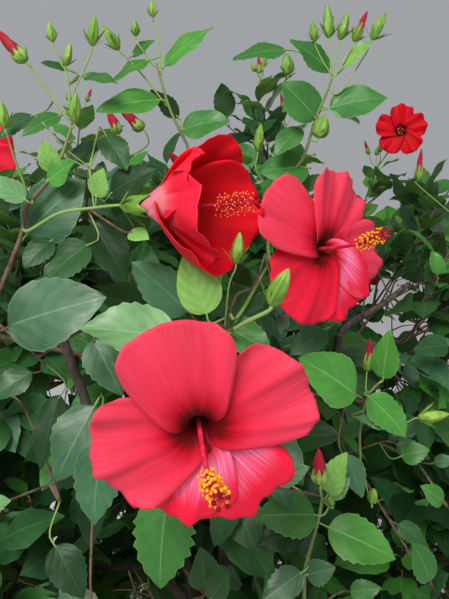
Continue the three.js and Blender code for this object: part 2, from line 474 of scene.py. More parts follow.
@sockets("Place Light Dark Pore Scale", "Color Roughness Height")
def bark_ridges(wiring: Wiring, entry: Sequence[Socket]) -> dict[str, Socket]:
    """Long ridges, cork and pale pores in the plant's own frame.

    Args:
        wiring: builds the group.
        entry: what the group reads.

    Returns:
        What it puts out.
    """
    ease, grain, stretched = wiring.ease, wiring.grain, wiring.stretched
    scaler = wiring.node("ShaderNodeVectorMath", operation="SCALE")
    place = wiring.feed(scaler, {0: entry["Place"], "Scale": entry["Scale"]}).outputs[0]
    ridges = grain(stretched(place, (1.0, 1.0, 0.16)), 90.0, 4.0, 0.65)
    cork = grain(place, 240.0, 3.0, 0.6)
    patches = grain(place, 22.0, 2.0)
    dots = grain(stretched(place, (0.6, 0.6, 1.5)), 170.0, 0.0)
    toned = wiring.blend(ease(ridges, 0.36, 0.62), entry["Dark"], entry["Light"])
    weathered = wiring.blend(ease(patches, 0.4, 0.65, 0.0, 0.45), toned, entry["Pore"])
    return {
        "Color": wiring.blend(ease(dots, 0.66, 0.72, 0.0, 0.7), weathered, entry["Pore"]),
        "Roughness": ease(cork, 0.3, 0.7, 0.68, 0.95),
        "Height": wiring.maths("MULTIPLY_ADD", cork, 0.35, ridges),
    }


@sockets("Place Skin Blush", "Color Roughness Height")
def living_skin(wiring: Wiring, entry: Sequence[Socket]) -> dict[str, Socket]:
    """Faint blotches and fine down in the plant's own frame.

    Args:
        wiring: builds the group.
        entry: what the group reads.

    Returns:
        What it puts out.
    """
    blotch = wiring.grain(entry["Place"], 70.0, 3.0, 0.6)
    down = wiring.grain(wiring.stretched(entry["Place"], (1.0, 1.0, 0.3)), 700.0, 2.0)
    return {
        "Color": wiring.blend(wiring.ease(blotch, 0.42, 0.72), entry["Skin"], entry["Blush"]),
        "Roughness": wiring.ease(down, 0.3, 0.7, 0.42, 0.62),
        "Height": down,
    }


class Finish:
    """What every finish shares: one material, made when it is first asked for."""

    name: str
    relief: float
    through: float

    def material(self) -> bpy.types.Material:
        """Finds the finish's material, or makes it.

        Returns:
            The material.
        """
        made = bpy.data.materials.get(self.name)
        if made is None:
            made = bpy.data.materials.new(self.name)
            made.use_nodes = True
            self.wire(Wiring(made.node_tree))
        return made

    def wire(self, wiring: Wiring) -> None:
        """Fills the material's tree round its shader."""
        raise NotImplementedError

    def look(self, wiring: Wiring, maker: Callable, values: dict) -> Sequence[Socket]:
        """Places a pattern in the material, and gives the shader its colour, its relief and any roughness.

        Args:
            wiring: the material's wiring.
            maker: the pattern's maker.
            values: what the pattern's inputs are given, by name.

        Returns:
            What the pattern puts out.
        """
        made = wiring.feed(wiring.node("ShaderNodeGroup", node_tree=pattern(maker)), values).outputs
        bump = wiring.node("ShaderNodeBump")
        wiring.feed(bump, {"Strength": 0.8, "Distance": self.relief, "Height": made["Height"]})
        wiring.shade({"Base Color": made["Color"], "Normal": bump.outputs[0]})
        if "Roughness" in maker.outputs:
            wiring.shade({"Roughness": made["Roughness"]})
        return made

    def glow(self, wiring: Wiring, colour: Socket) -> None:
        """Lets some light through a thin blade.

        Args:
            wiring: the material's wiring.
            colour: the colour of the light that comes through.
        """
        thin = wiring.feed(wiring.node("ShaderNodeBsdfTranslucent"), {"Color": colour})
        both = wiring.node("ShaderNodeMixShader")
        wiring.feed(both, {0: self.through, 1: wiring.shader.outputs[0], 2: thin.outputs[0]})
        wiring.feed(wiring.tree.nodes["Material Output"], {"Surface": both.outputs[0]})


@dataclass(frozen=True)
class LeafFinish(Finish):
    """A glossy veined leaf with a paler back."""

    name: str
    blade: Tint
    vein: Tint
    back: Tint
    through: float = 0.24
    gloss: float = 0.30
    sunlit: Tint = (0.30, 0.62, 0.04)
    relief: float = 0.00015

    def wire(self, wiring: Wiring) -> None:
        """Wires the veins, the gloss, the paler back and the light that comes through.

        Args:
            wiring: the material's wiring.
        """
        place = wiring.node("ShaderNodeTexCoord").outputs
        values = {"Map": place["UV"], "Place": place["Object"], "Blade": self.blade, "Vein": self.vein}
        colour = self.look(wiring, leaf_veins, values)["Color"]
        turned = wiring.node("ShaderNodeNewGeometry").outputs["Backfacing"]
        two_sided = wiring.blend(turned, colour, wiring.blend(0.62, colour, self.back))
        wiring.shade({"Base Color": two_sided, "Specular IOR Level": self.gloss})
        self.glow(wiring, wiring.blend(0.5, colour, self.sunlit))


@dataclass(frozen=True)
class PetalFinish(Finish):
    """A satin petal with a dark throat."""

    name: str
    throat: Tint
    body: Tint
    rim: Tint
    flush: Tint = (0.58, 0.0, 0.012)
    # The pink of the painted sheen lines close to the throat, and how strongly they show.
    streak: Tint = (1.0, 0.26, 0.50)
    streaks: float = 0.0
    depth: float = 1.0
    through: float = 0.34
    relief: float = 0.0005

    def wire(self, wiring: Wiring) -> None:
        """Wires the throat, the veins, the sheen and the light that comes through.

        Args:
            wiring: the material's wiring.
        """
        values = {label: getattr(self, label.lower()) for label in petal_veins.inputs[1:]}
        values["Map"] = wiring.node("ShaderNodeTexCoord").outputs["UV"]
        colour = self.look(wiring, petal_veins, values)["Color"]
        wiring.shade({"Roughness": 0.58, "Specular IOR Level": 0.18})
        wiring.shade({"Sheen Weight": 0.03, "Sheen Roughness": 0.45, "Sheen Tint": (1.0, 0.35, 0.45)})
        self.glow(wiring, colour)


@dataclass(frozen=True)
class BarkFinish(Finish):
    """Ridged bark, coarse on the stem and fine on young wood."""

    name: str
    light: Tint
    dark: Tint
    pore: Tint
    fineness: float = 1.0
    relief: float = 0.003

    def wire(self, wiring: Wiring) -> None:
        """Wires the ridges, the pores and their relief."""
        values = {"Light": self.light, "Dark": self.dark, "Pore": self.pore, "Scale": self.fineness}
        self.look(wiring, bark_ridges, {**values, "Place": wiring.node("ShaderNodeTexCoord").outputs["Object"]})


@dataclass(frozen=True)
class SkinFinish(Finish):
    """A smooth living skin: stalks, calyxes, stamens and stigmas."""

    name: str
    skin: Tint
    blush: Tint
    shine: float = 0.4
    relief: float = 0.0003

    def wire(self, wiring: Wiring) -> None:
        """Wires the blotches and the fine down.

        Args:
            wiring: the material's wiring.
        """
        place = wiring.node("ShaderNodeTexCoord").outputs["Object"]
        self.look(wiring, living_skin, {"Place": place, "Skin": self.skin, "Blush": self.blush})
        wiring.shade({"Specular IOR Level": self.shine})


class Leafage(Enum):
    """The greens that are dealt out to sprays of leaves."""

    # A near-black green: painted shade, for leaves that lie in the crown's shade.
    SHADE = LeafFinish(
        "leaf_shade", (0.009, 0.036, 0.014), (0.030, 0.090, 0.030), (0.05, 0.12, 0.07), gloss=0.22
    )
    DEEP = LeafFinish("leaf_deep", (0.020, 0.086, 0.024), (0.06, 0.18, 0.05), (0.10, 0.21, 0.11), gloss=0.36)
    FULL = LeafFinish("leaf_full", (0.032, 0.150, 0.026), (0.12, 0.30, 0.08), (0.14, 0.29, 0.13), gloss=0.42)
    BLUE = LeafFinish("leaf_blue", (0.040, 0.124, 0.056), (0.10, 0.23, 0.11), (0.11, 0.24, 0.12), 0.15, 0.44)
    BRIGHT = LeafFinish(
        "leaf_bright", (0.055, 0.235, 0.030), (0.18, 0.40, 0.11), (0.20, 0.38, 0.16), gloss=0.42
    )
    YOUNG = LeafFinish("leaf_young", (0.230, 0.470, 0.110), (0.34, 0.56, 0.18), (0.32, 0.50, 0.20), 0.34, 0.35)
    # Paler leaves: partly the paler backs that curled leaves turn out, partly a painted sky sheen on glossy
    # ones.
    PALE = LeafFinish("leaf_pale", (0.140, 0.320, 0.130), (0.24, 0.42, 0.20), (0.24, 0.38, 0.22), 0.2, 0.6)


SHADE, DEEP, FULL, BLUE, BRIGHT, YOUNG, PALE = Leafage
VEILED_THROAT = (0.16, 0.0, 0.003)


class Corolla(Enum):
    """The reds of the petals."""

    OPEN = PetalFinish("petal_open", VEILED_THROAT, (0.84, 0.010, 0.045), (0.86, 0.018, 0.060))
    # Red petals with a pinker body and a pinker rim still: the red is the petal's own, the pink lift a painted
    # reflection of the sky.
    FLUSHED = PetalFinish("petal_flushed", VEILED_THROAT, (0.86, 0.028, 0.086), (0.88, 0.070, 0.138))
    # Red petals with a painted pink sheen in fine pale lines close to the throat.
    STREAKED = PetalFinish(
        "petal_streaked", VEILED_THROAT, (0.86, 0.012, 0.068), (0.85, 0.008, 0.048), streaks=1.0, through=0.12
    )
    DEEP = PetalFinish("petal_deep", (0.30, 0.0, 0.002), (0.70, 0.0, 0.002), (0.86, 0.004, 0.022))
    DARK = PetalFinish("petal_dark", (0.04, 0.0, 0.002), (0.68, 0.001, 0.010), (0.74, 0.003, 0.018))
    BACK = PetalFinish(
        "petal_back", (0.94, 0.28, 0.36), (0.88, 0.012, 0.046), (0.92, 0.022, 0.066), (0.92, 0.10, 0.16),
        depth=1.32,
    )
    SHUT = PetalFinish("petal_shut", (0.46, 0.020, 0.045), (0.68, 0.090, 0.110), (0.74, 0.20, 0.22))


class Skin(Enum):
    """The smooth skins of the flowering parts and young shoots."""

    GREEN = SkinFinish("skin_green", (0.19, 0.33, 0.080), (0.24, 0.30, 0.09))
    SHOOT = SkinFinish("skin_shoot", (0.15, 0.21, 0.065), (0.18, 0.12, 0.055))
    CALYX = SkinFinish("skin_calyx", (0.12, 0.27, 0.030), (0.26, 0.40, 0.06))
    COLUMN = SkinFinish("skin_column", (0.50, 0.006, 0.030), (0.64, 0.030, 0.070), 0.25)
    ANTHER = SkinFinish("skin_anther", (0.92, 0.38, 0.02), (0.90, 0.16, 0.015), 0.2)
    # A redder pollen, used on the top bloom's anthers.
    RIPE = SkinFinish("skin_ripe_pollen", (0.90, 0.20, 0.050), (0.86, 0.09, 0.040), 0.2)
    STIGMA = SkinFinish("skin_stigma", (0.17, 0.0, 0.008), (0.28, 0.002, 0.012), 0.12)


class Wood(Enum):
    """The barks, from the stem to this year's wood."""

    OLD = BarkFinish("bark_old", (0.105, 0.071, 0.060), (0.028, 0.018, 0.016), (0.19, 0.15, 0.12))
    TWIG = BarkFinish(
        "bark_twig", (0.064, 0.043, 0.035), (0.019, 0.012, 0.010), (0.14, 0.10, 0.08), 2.2, 0.0012
    )
    YOUNG = BarkFinish(
        "bark_young", (0.110, 0.060, 0.034), (0.048, 0.026, 0.016), (0.20, 0.15, 0.10), 3.0, 0.0008
    )


@dataclass
class Template:
    """A small mesh held as arrays, ready to be copied many times."""

    points: np.ndarray
    corners: np.ndarray
    sides: np.ndarray
    maps: np.ndarray
    backs: np.ndarray | None = None

    @classmethod
    def of(cls, shape: bmesh.types.BMesh) -> "Template":
        """Reads a bmesh, with its map from the layers u and v, and frees it.

        Args:
            shape: the bmesh.

        Returns:
            The template.
        """
        shape.verts.index_update()
        layers = [shape.verts.layers.float.get(name) for name in ("u", "v")]
        made = cls(
            np.array([vertex.co for vertex in shape.verts]),
            np.array([vertex.index for face in shape.faces for vertex in face.verts]),
            np.array([len(face.verts) for face in shape.faces]),
            np.array([[vertex[layer] if layer else 0.0 for layer in layers] for vertex in shape.verts]),
        )
        shape.free()
        return made


def flat_sheet(columns: int, rows: int) -> bmesh.types.BMesh:
    """Makes a square grid with its map.

    Args:
        columns: faces across.
        rows: faces from foot to tip.

    Returns:
        The grid, from -1 to 1 across and from 0 to 1 along.
    """
    shape = bmesh.new()
    bmesh.ops.create_grid(shape, x_segments=columns, y_segments=rows, size=1.0)
    u_map, v_map = (shape.verts.layers.float.new(name) for name in ("u", "v"))
    for vertex in shape.verts:
        vertex.co.y = (vertex.co.y + 1.0) / 2.0
        vertex[u_map] = (vertex.co.x + 1.0) / 2.0
        vertex[v_map] = vertex.co.y
    return shape


def ringed_tube(sides: int, steps: int, capped: bool) -> bmesh.types.BMesh:
    """Makes an upright tube of radius 1 and height 1 round the origin.

    Args:
        sides: faces round it.
        steps: rings of faces.
        capped: whether its ends are closed.

    Returns:
        The tube.
    """
    shape = bmesh.new()
    bmesh.ops.create_cone(shape, cap_ends=capped, segments=sides, radius1=1.0, radius2=1.0, depth=1.0)
    for step in range(1, steps):
        everything = shape.verts[:] + shape.edges[:] + shape.faces[:]
        level = UP * (step / steps - 0.5)
        bmesh.ops.bisect_plane(shape, geom=everything, dist=1e-6, plane_co=level, plane_no=UP)
    return shape


@lru_cache(maxsize=None)
def tube_template(sides: int, steps: int) -> Template:
    """Makes a closed tube of radius 1 that stands on the origin.

    Args:
        sides: faces round it.
        steps: rings of faces.

    Returns:
        The tube, of height 1.
    """
    shape = ringed_tube(sides, steps, True)
    bmesh.ops.translate(shape, verts=shape.verts[:], vec=UP * 0.5)
    return Template.of(shape)


@lru_cache(maxsize=None)
def bead_template(finer: int) -> Template:
    """Makes a ball of radius 1.

    Args:
        finer: how often its faces are divided.

    Returns:
        The ball.
    """
    shape = bmesh.new()
    bmesh.ops.create_icosphere(shape, subdivisions=finer, radius=1.0)
    return Template.of(shape)


class Gathering:
    """Many small parts of one kind, joined as arrays into one piece."""

    def __init__(self, name: str, slot: str, nodes: Sequence[str] = ()) -> None:
        """Starts an empty gathering.

        Args:
            name: the piece's name.
            slot: not used.
            nodes: the nodes that it stands for.
        """
        self.name = name
        self.slot = slot
        self.nodes = tuple(nodes)
        self.finishes: list[Finish] = []
        self.chunks: list[tuple[np.ndarray, Template, np.ndarray]] = []

    def mark(self, finish: Enum) -> int:
        """Finds the place of a finish among the piece's materials.

        Args:
            finish: the finish, which is added where it is new.

        Returns:
            Its place.
        """
        if finish.value not in self.finishes:
            self.finishes.append(finish.value)
        return self.finishes.index(finish.value)

    def add(self, points: np.ndarray, shape: Template, finish: Enum, back: Enum | None = None) -> None:
        """Adds one copy of a template.

        Args:
            points: where its points are.
            shape: the template.
            finish: what it is finished in.
            back: what the faces of its back are finished in, where that differs.
        """
        marks = np.full(len(shape.sides), self.mark(finish))
        if back:
            marks[shape.backs] = self.mark(back)
        self.chunks.append((points, shape, marks))

    def place(self, shape: Template, foot: Vector, axes: np.ndarray, scale: object, finish: Enum) -> None:
        """Adds a template by its foot, its three axes as rows and its scale, one number or three."""
        self.add((shape.points * scale) @ axes + np.array(foot), shape, finish)

    def tube(
        self, stations: Sequence[Vector], steps: int, radii: Span, finish: Enum, sides: int = 5,
        swell: float = 0.0,
    ) -> list[Vector]:
        """Adds a round limb.

        Args:
            stations: the places that its middle runs through.
            steps: how many rings a smooth curve through them has, or 0 for straight runs between them.
            radii: its radius at its foot and at its tip.
            finish: what it is finished in.
            sides: faces round it.
            swell: how much thicker its ends are, as a share.

        Returns:
            The points of its middle.
        """
        line = smooth_line(stations, steps) if steps else list(stations)
        rings = len(line) - 1
        shape = tube_template(sides, rings)
        normals, seconds = carried_frames(line)
        share = shape.points[:, 2]
        ring = np.rint(share * rings).astype(int)
        radius = radii[0] + (radii[1] - radii[0]) * share
        radius = radius * (1.0 + swell * (np.exp(-12.0 * share) + np.exp(-12.0 * (1.0 - share))))
        aside = shape.points[:, :1] * normals[ring] + shape.points[:, 1:2] * seconds[ring]
        self.add(np.array(line)[ring] + aside * radius[:, None], shape, finish)
        return line

    def piece(self) -> None:
        """Makes the piece, if anything was gathered, gives it its materials and hangs it on the frame."""
        if not self.chunks:
            return
        starts = np.cumsum([0] + [len(points) for points, _, _ in self.chunks])
        rows = [
            (points, shape.corners + start, shape.sides, shape.maps, marks)
            for (points, shape, marks), start in zip(self.chunks, starts)
        ]
        points, corners, sides, maps, marks = (np.concatenate(column) for column in zip(*rows))
        mesh = bpy.data.meshes.new(self.name)
        mesh.vertices.add(len(points))
        mesh.loops.add(len(corners))
        mesh.polygons.add(len(sides))
        mesh.vertices.foreach_set("co", points.astype(np.float32).ravel())
        mesh.loops.foreach_set("vertex_index", corners.astype(np.int32))
        mesh.polygons.foreach_set("loop_start", (np.cumsum(sides) - sides).astype(np.int32))
        mesh.polygons.foreach_set("material_index", marks.astype(np.int32))
        mesh.polygons.foreach_set("use_smooth", np.ones(len(sides), dtype=bool))
        mesh.uv_layers.new(name="UVMap").data.foreach_set("uv", maps[corners].astype(np.float32).ravel())
        mesh.update(calc_edges=True)
        for finish in self.finishes:
            mesh.materials.append(finish.material())
        made = into_scene(self.name, mesh)
        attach(made, BODY)
        if self.nodes:
            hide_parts(*self.nodes)
        log.info("%s: %d parts, %d triangles", self.name, len(self.chunks), (sides - 2).sum())


def axes_of(along: Vector, face: Vector) -> np.ndarray:
    """The rows right, along and face of a blade that runs along one way and looks out another."""
    top = across(face, along)
    return np.array([along.cross(top), along, top])


def upright_axes(way: Vector, spin: float = 0.0) -> np.ndarray:
    """The rows of a frame whose third axis is the way given, turned round it by an angle."""
    first = round_way(way, spin)
    return np.array([first, way.cross(first), way])


class Detail(Enum):
    """How finely a leaf is made: its rows, columns and teeth."""

    MASS = (9, 4, 4)
    NEAR = (14, 4, 7)
    CLOSE = (24, 6, 8)


@dataclass(frozen=True)
class LeafBlade:
    """One leaf of length 1: toothed, broadest below its middle, folded along its rib and drooping."""

    rows: int = 10
    columns: int = 4
    teeth: int = 5
    breadth: float = 0.62
    tooth: float = 0.13
    fold: float = 0.30
    arch: float = 0.40
    droop: float = 0.50
    twist: float = 0.0
    wave: float = 0.03
    quilt: float = 0.0
    phase: float = 0.0
    petiole: float = 0.22
    petiole_radius: float = 0.013

    def half_width(self, along: float) -> float:
        """Finds how wide one side is.

        Args:
            along: the share from foot to tip.

        Returns:
            The width.
        """
        outline = math.sin(math.pi * min(along, 1.0) ** 0.72) ** 0.85 if 0.0 < along < 1.0 else 0.0
        forward = (along * self.teeth) % 1.0 - 0.45
        toothed = smoothstep(0.18, 0.34, along) * (1.0 - smoothstep(0.93, 1.0, along))
        return self.breadth / 2.0 * outline * (1.0 + self.tooth * forward * toothed)

    def height(self, side: float, along: float, offset: float) -> float:
        """Finds how high the blade stands over its rib.

        Args:
            side: the share across, from -1 to 1.
            along: the share from foot to tip.
            offset: the distance from the rib.

        Returns:
            The height.
        """
        reach = abs(offset)
        rise = reach * math.tan(self.fold) - self.arch * reach * reach / self.breadth
        ripple = self.wave * side * side * math.sin(2.0 * math.pi * (1.7 * along + self.phase) + side)
        vein = math.cos(2.0 * math.pi * ((along - 0.24 * abs(side)) * 6.5 + 0.5))
        return rise + ripple - self.quilt * vein * min(1.0, 4.0 * abs(side)) * (1.0 - abs(side) ** 3)

    def template(self) -> Template:
        """Builds the leaf from a flat sheet.

        Returns:
            The leaf, with its foot at the origin, its tip along +Y and its upper side to +Z.
        """
        shape = flat_sheet(self.columns, self.rows)
        bend = max(self.droop, 1e-3)
        for vertex in shape.verts:
            side, along = vertex.co.x, vertex.co.y
            offset = side * self.half_width(along)
            height = self.height(side, along, offset)
            turn, angle = self.twist * along, bend * along
            x = offset * math.cos(turn) - height * math.sin(turn)
            z = offset * math.sin(turn) + height * math.cos(turn)
            y = self.petiole + math.sin(angle) / bend + z * math.sin(angle)
            vertex.co = (x, y, z * math.cos(angle) - (1.0 - math.cos(angle)) / bend)
        bmesh.ops.remove_doubles(shape, verts=shape.verts[:], dist=WELD)
        blade = Template.of(shape)
        return self.stalked(blade) if self.petiole else blade

    def stalked(self, blade: Template) -> Template:
        """Joins the stalk of the leaf to its blade.

        Args:
            blade: the blade.

        Returns:
            Both as one.
        """
        line = [Vector((0.0, self.petiole * t, 0.03 * math.sin(math.pi * t))) for t in (0.0, 0.5, 1.02)]
        stem = Gathering("petiole", "foliage")
        stem.tube(line, 0, (self.petiole_radius, self.petiole_radius * 0.8), Skin.GREEN, 3)
        points, tube, _ = stem.chunks[0]
        midrib = np.full((len(points), 2), 0.5)
        return Template(
            np.concatenate([blade.points, points]),
            np.concatenate([blade.corners, tube.corners + len(blade.points)]),
            np.concatenate([blade.sides, tube.sides]),
            np.concatenate([blade.maps, midrib]),
        )


class LeafStock:
    """A stock of leaf shapes, no two alike, that every mass draws on."""

    KINDS = 7

    def __init__(self, seed: int) -> None:
        """Makes the stock from its seed."""
        chance, details = random.Random(seed), (Detail.MASS, Detail.NEAR)
        self.shapes = {detail: [self.blade(detail, chance) for _ in range(self.KINDS)] for detail in details}

    @staticmethod
    def blade(detail: Detail, chance: random.Random) -> Template:
        """Draws and builds one leaf.

        Args:
            detail: how finely it is made.
            chance: draws its shape.

        Returns:
            The leaf.
        """
        between = chance.uniform
        return LeafBlade(
            *detail.value, breadth=between(0.54, 0.72), fold=between(0.12, 0.46), droop=between(0.25, 1.0),
            twist=between(-0.35, 0.35), wave=between(0.01, 0.045), phase=chance.random(),
            petiole=between(0.18, 0.34),
        ).template()


class Skeleton:
    """All the wood that something may grow from."""

    NEAREST = 90
    HIDDEN = 0.012

    def __init__(self) -> None:
        """Starts with no wood."""
        self.points: list[Vector] = []
        self.tree: KDTree | None = None

    def add(self, line: Sequence[Vector]) -> None:
        """Notes the points of a limb."""
        self.points.extend(point.copy() for point in line)
        self.tree = None

    def nearest(self, place: Vector, behind: bool = False) -> Vector:
        """Finds the wood nearest to a place.

        Args:
            place: where something starts.
            behind: whether wood nearer to the lens counts for less.

        Returns:
            A point on the wood.
        """
        if self.tree is None:
            self.tree = KDTree(len(self.points))
            for index, point in enumerate(self.points):
                self.tree.insert(point, index)
            self.tree.balance()
        if not behind:
            return self.tree.find(place)[0].copy()
        forward = LENS.forward

        def cost(found: Vector) -> float:
            """The distance, with wood in front of the place counted long."""
            return (found - place).length + 1.5 * max(0.0, (place - found).dot(forward) - self.HIDDEN)

        return min((row[0] for row in self.tree.find_n(place, self.NEAREST)), key=cost).copy()


@dataclass(frozen=True)
class Clearing:
    """A ball of space that grown leaves keep out of, as round a bloom."""

    centre: Vector
    radius: float

    def holds(self, place: Vector) -> bool:
        """Whether a place is inside."""
        return (place - self.centre).length < self.radius


@dataclass(frozen=True)
class Opening:
    """A place in the picture where sky shows between the leaves, in its pixels."""

    px: float
    py: float
    wide: float
    tall: float

    def covers(self, px: float, py: float, blade: float) -> bool:
        """Whether a leaf that reaches so many pixels from its place would stand in the opening."""
        return math.hypot((px - self.px) / (self.wide + blade), (py - self.py) / (self.tall + blade)) < 1.0


OVER_THE_BOUGH = Opening(385.0, 289.0, 13.0, 9.0)
UNDER_THE_BOUGH = Opening(387.0, 324.0, 12.0, 6.0)
BESIDE_THE_BOUGH = Opening(422.0, 326.0, 8.0, 5.0)
UNDER_THE_BUD = Opening(396.0, 383.0, 9.0, 6.0)
BY_THE_LEFT_BOUGH = Opening(58.0, 392.0, 5.0, 8.0)
OPENINGS = (OVER_THE_BOUGH, UNDER_THE_BOUGH, BESIDE_THE_BOUGH, UNDER_THE_BUD, BY_THE_LEFT_BOUGH)


class OpenSpace:
    """Where grown leaves may not stand: round the blooms, where sky shows, and close before the lens."""

    BLADE_HALF = 0.013
    DEEPEST = 0.95

    def __init__(self, clearings: Sequence[Clearing]) -> None:
        """Notes the clearings."""
        self.clearings = list(clearings)

    @staticmethod
    def front(px: float, py: float) -> float:
        """Finds how far from the lens the grown leaves begin.

        Args:
            px: a pixel from the picture's left.
            py: the pixel from its top.

        Returns:
            The depth.
        """
        if py < 175.0:
            return 0.66 + 0.04 * smoothstep(100.0, 250.0, px)
        if py > 505.0 and 92.0 < px < 220.0:
            return 0.84
        return 0.555 + 0.075 * smoothstep(270.0, 400.0, px)

    def shows_sky(self, px: float, py: float, depth: float) -> bool:
        """Whether a leaf at a pixel and depth would cover one of the openings that the picture shows."""
        blade = self.BLADE_HALF * LENS.long_side / depth
        return depth > 0.3 and any(opening.covers(px, py, blade) for opening in OPENINGS)

    def shuts(self, place: Vector, margin: float = 0.0) -> bool:
        """Whether a place is in an open space.

        Args:
            place: the place.
            margin: how much more room the lens's view keeps clear, in metres.

        Returns:
            True where nothing may grow.
        """
        px, py, depth = LENS.seen(place)
        if any(clearing.holds(place) for clearing in self.clearings) or self.shows_sky(px, py, depth):
            return True
        return depth <= self.DEEPEST and LENS.holds(px, py) and depth < self.front(px, py) + margin


@dataclass
class Grove:
    """What all growth shares: the open spaces, the wood so far and the leaf shapes."""

    space: OpenSpace
    skeleton: Skeleton = field(default_factory=Skeleton)
    stock: LeafStock = field(default_factory=lambda: LeafStock(3))


def even_directions(count: int, chance: random.Random) -> list[Vector]:
    """Spreads directions evenly over a sphere.

    Args:
        count: how many.
        chance: turns the spread.

    Returns:
        The directions.
    """
    start = chance.random() * math.tau
    ways = []
    for index in range(count):
        level = 1.0 - 2.0 * (index + 0.5) / count
        angle = start + index * GOLDEN_TURN
        ring = math.sqrt(1.0 - level * level)
        ways.append(Vector((ring * math.cos(angle), ring * math.sin(angle), level)))
    return ways


SPRAY_TONES = {SHADE: 26, DEEP: 30, FULL: 22, BLUE: 12, BRIGHT: 10}
# Darker greens for sprays low on the picture's left: painted shade, where the crown's inside lies dark.
SHADED_TONES = {SHADE: 56, DEEP: 26, FULL: 4, BLUE: 12, BRIGHT: 2}
TIP_TONES = {SHADE: FULL, DEEP: BRIGHT, FULL: BRIGHT, BLUE: FULL}


@dataclass
class Sprigs:
    """Grows limbs and twigs, sets leaves round the twigs by the turn of their kind, and notes the wood."""

    grove: Grove
    wood: Gathering
    leaves: Gathering
    chance: random.Random
    heart: Vector = field(default_factory=Vector)
    detail: Detail = Detail.MASS
    spacing: float = 0.0150
    lengths: Span = (0.058, 0.086)
    first: float = 0.3

    def tone(self, place: Vector) -> Leafage:
        """Draws the green of one spray, with darker greens low on the picture's left side as painted shade.

        Args:
            place: where the spray ends.

        Returns:
            The green.
        """
        px, py, _ = LENS.seen(place)
        shares = SHADED_TONES if px < 215.0 and py > 330.0 and place.y < -0.1 else SPRAY_TONES
        return self.chance.choices(list(shares), list(shares.values()))[0]

    def dress(self, line: Sequence[Vector], tone: Leafage | None = None) -> None:
        """Sets leaves along a twig, except where they would stand in an open space.

        Args:
            line: the twig's points.
            tone: its green, or None to draw one.
        """
        chance, shuts = self.chance, self.grove.space.shuts
        spray = tone or self.tone(line[-1])
        count = max(3, int(length_of(line) * (1.0 - self.first) / self.spacing))
        turn = chance.random() * math.tau
        size = chance.uniform(0.9, 1.1)
        for index in range(count):
            share = self.first + (1.0 - self.first) * (index + 0.5) / count
            foot, way = along_line(line, share)
            turn += GOLDEN_TURN
            outward = (foot - self.heart).normalized()
            lean = round_way(way, turn) * 0.8 + way * (0.25 + 0.5 * share) + outward * 0.45 - UP * 0.12
            along = lean.normalized()
            face = UP * 0.9 + outward * 0.75 + way * 0.25 + jitter(chance, 0.28)
            young = smoothstep(0.80, 1.0, share)
            reach = chance.uniform(*self.lengths) * size * (1.0 - 0.45 * young)
            if shuts(foot + along * reach) or shuts(foot + along * reach * 0.5):
                continue
            colour = TIP_TONES.get(spray, YOUNG) if young > 0.6 and chance.random() < 0.6 else spray
            shape = chance.choice(self.grove.stock.shapes[self.detail])
            self.leaves.place(shape, foot, axes_of(along, face), reach, colour)

    def limb(
        self, stations: Sequence[Vector], steps: int, radii: Span, finish: Enum, sides: int, swell: float = 0.0
    ) -> list[Vector]:
        """Grows a bare limb.

        Args:
            stations: the places that it runs through.
            steps: how many rings it has.
            radii: its radius at its foot and at its tip.
            finish: its bark.
            sides: faces round it.
            swell: how much thicker its ends are, as a share.

        Returns:
            The points of its middle.
        """
        line = self.wood.tube(stations, steps, radii, finish, sides, swell)
        self.grove.skeleton.add(line)
        return line

    def twig(
        self, stations: Sequence[Vector], steps: int, radii: Span, sides: int = 4, tone: Leafage | None = None
    ) -> list[Vector]:
        """Grows a twig and sets its leaves.

        Args:
            stations: the places that it runs through.
            steps: how many rings it has.
            radii: its radius at its foot and at its tip.
            sides: faces round it.
            tone: the green of its leaves, or None to draw one.

        Returns:
            The points of its middle.
        """
        line = self.limb(stations, steps, radii, Wood.YOUNG, sides)
        self.dress(line, tone)
        return line


